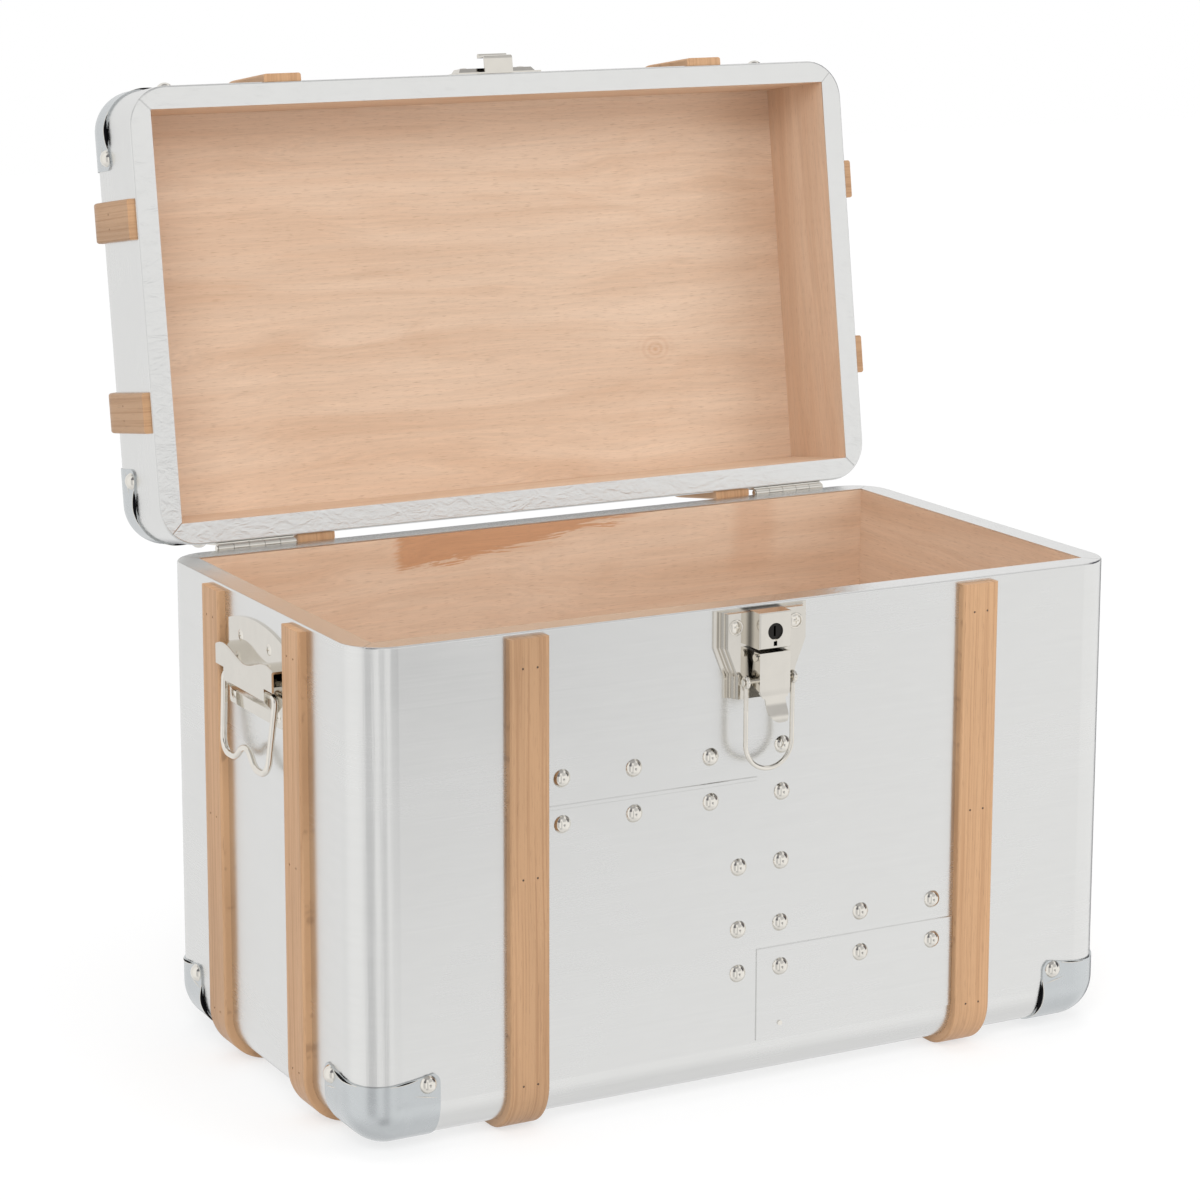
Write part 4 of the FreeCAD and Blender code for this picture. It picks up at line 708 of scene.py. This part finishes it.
class CapCorner:
    """One pressed cap, with the trunk shut: its corner, its edges and the points along them."""

    def __init__(self, place, end, hand, trim):
        name = "%s_cap_%s_%s" % (place, end, hand)
        low, high = shut_box(name) if place == "lid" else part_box(name)
        clad = LID_HIGH if place == "lid" else BASE_HIGH
        self.trim = trim
        self.openings = OPENINGS[(place, end, hand)]
        self.side = Vector((-1 if hand == "left" else 1, -1 if end == "front" else 1, 0))
        self.sheet = high.x - clad.x if hand == "right" else -low.x - clad.x
        self.outer = Vector((clad.x + self.sheet, clad.y + self.sheet, 0))
        self.reach = high.x - low.x
        self.turn = 1 if place == "base" else -1
        self.face = low.z if place == "base" else high.z
        self.end = high.z if place == "base" else low.z
        self.round = BEND_RADIUS + self.sheet

    def upright(self, offset):
        """A point of the edge between the two upright lobes, by its offset from the corner."""
        centre = self.outer - Vector((self.round, self.round, 0))
        if abs(offset) <= self.round * math.sin(math.pi / 4):
            angle = math.pi / 4 + math.asin(offset / self.round)
            normal = Vector((math.cos(angle), math.sin(angle), 0))
            place = centre + normal * self.round
        elif offset > 0:
            normal = Vector((0, 1, 0))
            place = Vector((centre.x + self.round - offset * math.sqrt(2), self.outer.y, 0))
        else:
            normal = Vector((1, 0, 0))
            place = Vector((self.outer.x, centre.y + self.round + offset * math.sqrt(2), 0))
        sag = self.trim.dip_radius - math.sqrt(self.trim.dip_radius ** 2 - offset ** 2)
        place.z = self.end - self.turn * max(self.trim.dip - sag, 0.0)
        return self.mirror(place), self.mirror(normal), Vector((0, 0, -self.turn))

    def lobe(self, on_front, run):
        """A point of a lobe's straight edge, by its run down from the lobe's end."""
        start = self.face + self.turn * self.round
        down = abs(self.end - start) - run
        if down >= 0:
            depth, height, angle = 0.0, start + self.turn * down, 0.0
        else:
            angle = -down / self.round
            depth = self.round * (1 - math.cos(angle))
            height = start - self.turn * self.round * math.sin(angle)
        normal = Vector((0, math.cos(angle), -self.turn * math.sin(angle)))
        place = Vector((self.outer.x - self.reach, self.outer.y - depth, height))
        across = Vector((1, 0, 0))
        if not on_front:
            place = Vector((self.outer.x - depth, self.outer.y - self.reach, height))
            normal = Vector((normal.y, 0, normal.z))
            across = Vector((0, 1, 0))
        return self.mirror(place), self.mirror(normal), self.mirror(across)

    def crease(self, on_front, share):
        """A point of the crease under a lobe's nail, by its share from the lobe's side."""
        height = self.end - self.turn * (CREASE_DROP - CREASE_SLOPE * share)
        step = self.reach - CREASE_INSET - CREASE_RUN * share
        place = Vector((self.outer.x - step, self.outer.y, height))
        normal = Vector((0, 1, 0))
        if not on_front:
            place = Vector((self.outer.x, self.outer.y - step, height))
            normal = Vector((1, 0, 0))
        return self.mirror(place), self.mirror(normal), Vector((0, 0, self.turn))

    def mirror(self, vector):
        return Vector((vector.x * self.side.x, vector.y * self.side.y, vector.z))


def lens(count, peak):
    """Shares along a slit and its lift there: 0 at both ends, 1 at the peak."""
    for i in range(count + 1):
        share = i / count
        bent = share ** (math.log(0.5) / math.log(peak))
        yield share, math.sin(math.pi * bent) ** 1.6


# Opening of each cap's edge, 0 to 1: beside the side nail, beside the front or back nail, down
# the side lobe and down the front or back lobe.
OPENINGS = {
    ("base", "front", "left"): (0.62, 0.34, 0.0, 0.0),
    ("base", "front", "right"): (0.55, 0.30, 0.70, 0.95),
    ("base", "rear", "left"): (0.50, 0.70, 1.0, 0.60),
    ("base", "rear", "right"): (0.60, 0.45, 0.80, 0.55),
    ("lid", "front", "left"): (1.0, 0.55, 0.0, 0.0),
    ("lid", "front", "right"): (0.60, 0.70, 0.0, 0.5),
    ("lid", "rear", "left"): (0.90, 0.60, 0.0, 0.0),
    ("lid", "rear", "right"): (0.70, 0.50, 0.4, 0.0),
}


def slit_runs(corner):
    """Runs of the gaps beside a cap's nails, on its upright edge and down its lobes."""
    side, front, side_lobe, front_lobe = corner.openings
    runs = []
    for (first, last, peak), size in ((SIDE_SLIT, side), (FRONT_SLIT, front)):
        runs.append([(*corner.upright(first + (last - first) * share), lift * size)
                     for share, lift in lens(18, peak)])
    start, length, peak = LOBE_SLIT
    for on_front, size in ((False, side_lobe), (True, front_lobe)):
        if size:
            runs.append([(*corner.lobe(on_front, start + length * share), lift * size)
                         for share, lift in lens(18, peak)])
    return runs


def crease_runs(corner):
    """Runs of the raised creases under the nails of a cap's upright lobes."""
    return [[(*corner.crease(on_front, share), lift) for share, lift in lens(10, 0.5)]
            for on_front in (True, False)]


# ---------------------------------------------------------------- operators

BASE_WALLS = {"base_panel_left": True, "base_panel_right": True, "base_panel_front": False,
              "base_panel_back": False, "base_panel_bottom": False}
LID_WALLS = {"lid_rail_left": True, "lid_rail_right": True, "lid_rail_front": False,
             "lid_rail_back": False, "lid_top_panel": False}


class TRUNK_OT_plywood(bpy.types.Operator):
    """Gives the ten plywood panels their peeled veneer"""
    bl_idname = "trunk.plywood"
    bl_label = "Plywood panels"

    def execute(self, context):
        wood = context.scene.trunk_wood
        for on_lid, walls in ((False, BASE_WALLS), (True, LID_WALLS)):
            for turned in (False, True):
                place = "lid" if on_lid else "base"
                way = "across" if turned else "along"
                material = veneer_material("Veneer %s %s" % (place, way), wood, turned, on_lid)
                paint([n for n, t in walls.items() if t is turned], material)
        paint(["base_panel_back"], veneer_material("Veneer back wall", wood, extra=back_stain))
        paint(["lid_top_panel"],
              veneer_material("Veneer lid top", wood, on_lid=True, extra=lid_knot))
        return {"FINISHED"}


class TRUNK_OT_sheet(bpy.types.Operator):
    """Gives the cladding and the patches their rolled aluminium"""
    bl_idname = "trunk.sheet"
    bl_label = "Aluminium sheet"

    def execute(self, context):
        sheet = context.scene.trunk_sheet
        paint(["base_cladding"], sheet_material("Sheet base", sheet))
        paint(["lid_cladding"], sheet_material("Sheet lid", sheet, on_lid=True))
        paint(["patch_sheet_left", "patch_sheet_right"], sheet_material("Sheet patches", sheet))
        return {"FINISHED"}


class TRUNK_OT_slats(bpy.types.Operator):
    """Gives the bent slats their grain and the brads their dull heads"""
    bl_idname = "trunk.slats"
    bl_label = "Slats and brads"

    def execute(self, context):
        wood = context.scene.trunk_wood
        paint(["runner_slat_left"], slat_material("Slat runner left", wood, tone=0.84))
        paint(["runner_slat_right"], slat_material("Slat runner right", wood, tone=1.02))
        paint(["side_slats_left", "side_slats_right"],
              slat_material("Slat side", wood, side=True, tone=0.98))
        paint(["lid_slat_left", "lid_slat_right"], slat_material("Slat lid", wood, on_lid=True))
        paint(["lid_side_slats_left", "lid_side_slats_right"],
              slat_material("Slat lid side", wood, side=True, on_lid=True, tone=0.84))
        brad = plated_material("Brad steel", context.scene.trunk_fittings.brad, 0.42, 0.004)
        paint(["base_slat_brads", "lid_slat_brads"], brad)
        return {"FINISHED"}


class TRUNK_OT_caps(bpy.types.Operator):
    """Gives the corner caps and the domed nails their plating"""
    bl_idname = "trunk.caps"
    bl_label = "Corner caps and nails"

    def execute(self, context):
        fittings = context.scene.trunk_fittings
        caps = plated_material("Cap steel", fittings.cap, 0.24, 0.018)
        nails = plated_material("Nail nickel", fittings.nail, 0.06, 0.008)
        paint([n for n in frame["nodes"] if "_cap_" in n and not n.endswith("nails")], caps)
        paint(["front_nails", "base_cap_nails", "lid_cap_nails"], nails)
        trim = context.scene.trunk_trim
        # Painted shadow: near-black beads along the slits stand for the shade under the lifted cap
        # edges; the lips and creases are raised metal.
        dark = plated_material("Slit shadow", trim.slit, 0.7, 0.01)
        lip = plated_material("Cap lip", fittings.nail, 0.10, 0.01)
        for place, body in (("base", "chest"), ("lid", "lid")):
            corners = [CapCorner(*cap, trim) for cap in CAPS if cap[0] == place]
            slits = [run for corner in corners for run in slit_runs(corner)]
            creases = [run for corner in corners for run in crease_runs(corner)]
            opened = place == "lid"
            grow(place + "_cap_slit_shadows", slits, "Swept bead",
                 {"Radius": trim.slit_half, "Taper": 1.0, "Across": -0.2 * trim.slit_half,
                  "Outward": 0.0, "Material": dark}, body, opened)
            grow(place + "_cap_lips", slits, "Swept bead",
                 {"Radius": trim.lip_radius, "Taper": 0.3, "Across": 0.9 * trim.slit_half,
                  "Outward": 0.8 * trim.slit_half, "Material": lip}, body, opened)
            grow(place + "_cap_creases", creases, "Swept bead",
                 {"Radius": trim.crease_radius, "Taper": 0.8, "Across": 0.0, "Outward": 0.0,
                  "Material": lip}, body, opened)
        return {"FINISHED"}


class TRUNK_OT_fittings(bpy.types.Operator):
    """Gives the hinges, the latch, the keeper and the handles their nickel"""
    bl_idname = "trunk.fittings"
    bl_label = "Hinges, latch and handles"

    def execute(self, context):
        fittings = context.scene.trunk_fittings
        worn = shaded(fittings.nickel, 0.90)
        nickel = plated_material("Nickel plate", worn, 0.07, 0.02)
        wire = plated_material("Nickel wire", fittings.nickel, 0.06, 0.012)
        screws = plated_material("Nickel screws", fittings.nickel, 0.09, 0.005)
        paint([n for n in frame["nodes"] if n.startswith(("hinge_", "handle_plate", "handle_cover"))
               and not n.endswith(("screws", "pins"))], nickel)
        paint(["lock_case", "latch_keeper", "latch_lever"], nickel)
        dull = shaded(fittings.nickel, 0.86)
        # The latch plate gets painted shade beside the lock case and under the lever.
        paint(["latch_plate"], plated_material("Latch plate", dull, 0.07, 0.02, painted_shade=latch_painted_shade))
        paint(["latch_loop", "latch_loop_pin", "latch_lever_pin", "handle_bail_left",
               "handle_bail_right", "hinge_pins"], wire)
        paint(["latch_screws", "handle_screws", "keeper_screws", "hinge_base_screws",
               "hinge_lid_screws"], screws)
        paint(["lock_plug"], plated_material("Lock plug steel", fittings.lock, 0.30, 0.004))
        trim = context.scene.trunk_trim
        low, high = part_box("latch_screws")
        head = SCREW_HEAD_RADIUS
        spots = [(low.x + head, high.z - head), (high.x - head, high.z - head),
                 ((low.x + high.x) / 2, low.z + head)]
        front = Vector((0, -1, 0))
        runs = [[(Vector((x, low.y + RING_DEPTH, z)), front, front, 1.0)] for x, z in spots]
        grow("latch_screw_rings", runs, "Set rings",
             {"Radius": trim.ring_radius, "Section": trim.ring_section, "Material": screws},
             "chest")
        return {"FINISHED"}


# turn, half, soft, rise, half, soft, depth: the darker things round the studio, in degrees.
DARK_THINGS = (
    (-54.0, 9.0, 6.0, 0.0, 34.0, 12.0, 0.33),
    (-17.0, 5.0, 4.0, 0.0, 34.0, 12.0, 0.30),
    (16.0, 6.0, 11.0, -7.0, 5.0, 6.0, 0.62),
    (28.0, 22.0, 12.0, 42.0, 12.0, 10.0, 0.34),
    (140.0, 20.0, 10.0, -15.0, 11.0, 6.0, 0.75),
    (-50.0, 14.0, 6.0, 42.0, 16.0, 8.0, 0.75),
    (96.0, 28.0, 10.0, 24.0, 14.0, 7.0, 0.90),
    (-24.0, 15.0, 5.0, -50.0, 8.0, 5.0, 0.30),
    (0.0, 180.0, 0.1, 78.0, 14.0, 8.0, 0.55),
)


def studio_light(web):
    """What polished metal sees: a pale room with darker things standing round it."""
    ray = web.split(web.put("ShaderNodeTexCoord").outputs["Generated"])
    turn = web.times(web.sum("ARCTAN2", ray["X"], web.times(ray["Y"], -1.0)), DEGREES)
    rise = web.times(web.sum("ARCSINE", ray["Z"]), DEGREES)
    level = web.times(web.step(rise, -60.0, -30.0, 0.84, 1.0), 0.99)
    for centre, half, soft, height, tall, fade, depth in DARK_THINGS:
        mask = web.times(web.near(turn, centre, half, soft), web.near(rise, height, tall, fade))
        level = web.times(level, web.times_plus(mask, -depth, 1.0))
    behind = web.step(web.sum("ABSOLUTE", turn), 110.0, 135.0, 1.0, 0.91)
    level = web.times(level, behind)
    return web.tint(level, (0.0, 0.0, 0.02), (1.0, 1.0, 1.0))


class TRUNK_OT_stage(bpy.types.Operator):
    """Sets up the floor, the light and the camera"""
    bl_idname = "trunk.stage"
    bl_label = "Stage"

    def execute(self, context):
        scene = context.scene
        stage = scene.trunk_stage
        world = bpy.data.worlds.new("Studio")
        world.use_nodes = True
        world.node_tree.nodes.clear()
        web = Web(world.node_tree)
        path = web.put("ShaderNodeLightPath").outputs
        seen = web.sum("MAXIMUM", path["Is Camera Ray"], path["Is Transmission Ray"])
        colour = web.tint(path["Is Glossy Ray"], (stage.fill,) * 3, studio_light(web))
        colour = web.tint(seen, colour, tuple(stage.backdrop))
        light = web.put("ShaderNodeBackground", {"Color": colour, "Strength": 1.0})
        web.tree.links.new(light.outputs[0], web.put("ShaderNodeOutputWorld").inputs[0])
        scene.world = world

        mesh = bpy.data.meshes.new("Floor")
        corners = [(x * FLOOR_REACH, y * FLOOR_REACH, SOLID_BOX[0].z - FLOOR_DROP)
                   for x, y in ((-1, -1), (1, -1), (1, 1), (-1, 1))]
        mesh.from_pydata(corners, [], [(0, 1, 2, 3)])
        floor = bpy.data.objects.new("Floor", mesh)
        scene.collection.objects.link(floor)
        floor.visible_glossy = False
        material, web, shader = new_material("Floor paint")
        path = web.put("ShaderNodeLightPath").outputs
        seen = web.sum("MAXIMUM", path["Is Camera Ray"], path["Is Transmission Ray"])
        spot = web.put("ShaderNodeVectorMath", operation="LENGTH")
        where = web.put("ShaderNodeTexCoord").outputs["Object"]
        web.feed(spot.inputs[0], web.stretch(where, (1, 1.4, 1)))
        far = web.times(seen, web.step(spot.outputs["Value"], 0.40, 0.85))
        near = web.tint(seen, tuple(stage.floor), (0.40, 0.40, 0.40))
        web.feed(shader["Base Color"], web.tint(far, near, (0.0, 0.0, 0.0)))
        shader["Roughness"].default_value = 0.9
        shader["Specular IOR Level"].default_value = 0.0
        shader["Emission Color"].default_value = (*stage.backdrop, 1.0)
        web.feed(shader["Emission Strength"], web.times_plus(far, 0.37, web.times(seen, 0.64)))
        mesh.materials.append(material)

        middle = Vector((0.0, 0.0, 0.30))
        for name, where, size, power in (("Main lamp", (-1.7, -2.4, 2.3), 1.6, 1.0),
                                         ("Side lamp", (2.0, -2.2, 1.2), 1.8, 0.52),
                                         ("Top lamp", (0.2, 0.2, 3.0), 2.0, 0.55)):
            lamp = bpy.data.lights.new(name, "AREA")
            lamp.energy = stage.lamp_power * power
            lamp.size = size
            holder = bpy.data.objects.new(name, lamp)
            holder.visible_glossy = False
            holder.location = where
            holder.rotation_euler = (middle - Vector(where)).to_track_quat("-Z", "Y").to_euler()
            scene.collection.objects.link(holder)

        turn, lift = stage.azimuth, stage.elevation
        back = Vector((math.sin(turn) * math.cos(lift), -math.cos(turn) * math.cos(lift),
                       math.sin(lift)))
        right = Vector((math.cos(turn), math.sin(turn), 0.0))
        up = back.cross(right)
        tilt = Matrix.Rotation(stage.roll, 3, back)
        right, up = tilt @ right, tilt @ up
        aim = Vector((0.0, 0.0, BASE_HIGH.z / 2))
        camera = bpy.data.objects.new("Camera", bpy.data.cameras.new("Camera"))
        place = Matrix((right, up, back)).transposed().to_4x4()
        place.translation = aim + back * stage.distance + right * stage.slide + up * stage.rise
        camera.matrix_world = place
        camera.data.lens = stage.lens
        camera.data.sensor_width = 36.0
        camera.data.shift_y = stage.shift
        camera.data.clip_start, camera.data.clip_end = 0.05, 40.0
        scene.collection.objects.link(camera)
        scene.camera = camera
        scene.view_settings.view_transform = "Standard"
        return {"FINISHED"}


class TRUNK_PT_sidebar(bpy.types.Panel):
    """Lists the trunk's pieces and their settings"""
    bl_label = "Storage trunk"
    bl_idname = "TRUNK_PT_sidebar"
    bl_space_type = "VIEW_3D"
    bl_region_type = "UI"
    bl_category = "Trunk"

    def draw(self, context):
        for label, settings, actions in PANEL_ROWS:
            box = self.layout.box()
            box.label(text=label)
            group = getattr(context.scene, settings)
            for name in group.__annotations__:
                box.prop(group, name)
            for action in actions:
                box.operator(action)


PANEL_ROWS = (
    ("Sheet", "trunk_sheet", ("trunk.sheet",)),
    ("Wood", "trunk_wood", ("trunk.plywood", "trunk.slats")),
    ("Fittings", "trunk_fittings", ("trunk.fittings",)),
    ("Caps and trim", "trunk_trim", ("trunk.caps",)),
    ("Stage", "trunk_stage", ("trunk.stage",)),
)

SETTINGS = {"trunk_sheet": TrunkSheetSettings, "trunk_wood": TrunkWoodSettings,
            "trunk_fittings": TrunkFittingSettings, "trunk_trim": TrunkTrimSettings,
            "trunk_stage": TrunkStageSettings}
CLASSES = (*SETTINGS.values(),
           TRUNK_OT_plywood, TRUNK_OT_sheet, TRUNK_OT_slats, TRUNK_OT_caps, TRUNK_OT_fittings,
           TRUNK_OT_stage, TRUNK_PT_sidebar)


def register():
    for cls in CLASSES:
        bpy.utils.register_class(cls)
    for name, settings in SETTINGS.items():
        setattr(bpy.types.Scene, name, PointerProperty(type=settings))


def unregister():
    for name in SETTINGS:
        delattr(bpy.types.Scene, name)
    for cls in reversed(CLASSES):
        bpy.utils.unregister_class(cls)


def main():
    register()
    build_rolled_sheet()
    build_slat_grain()
    build_rotary_veneer()
    build_plating()
    build_bead_maker()
    build_ring_maker()
    bpy.ops.trunk.plywood()
    bpy.ops.trunk.sheet()
    bpy.ops.trunk.slats()
    bpy.ops.trunk.caps()
    bpy.ops.trunk.fittings()
    bpy.ops.trunk.stage()


if __name__ == "__main__":
    main()
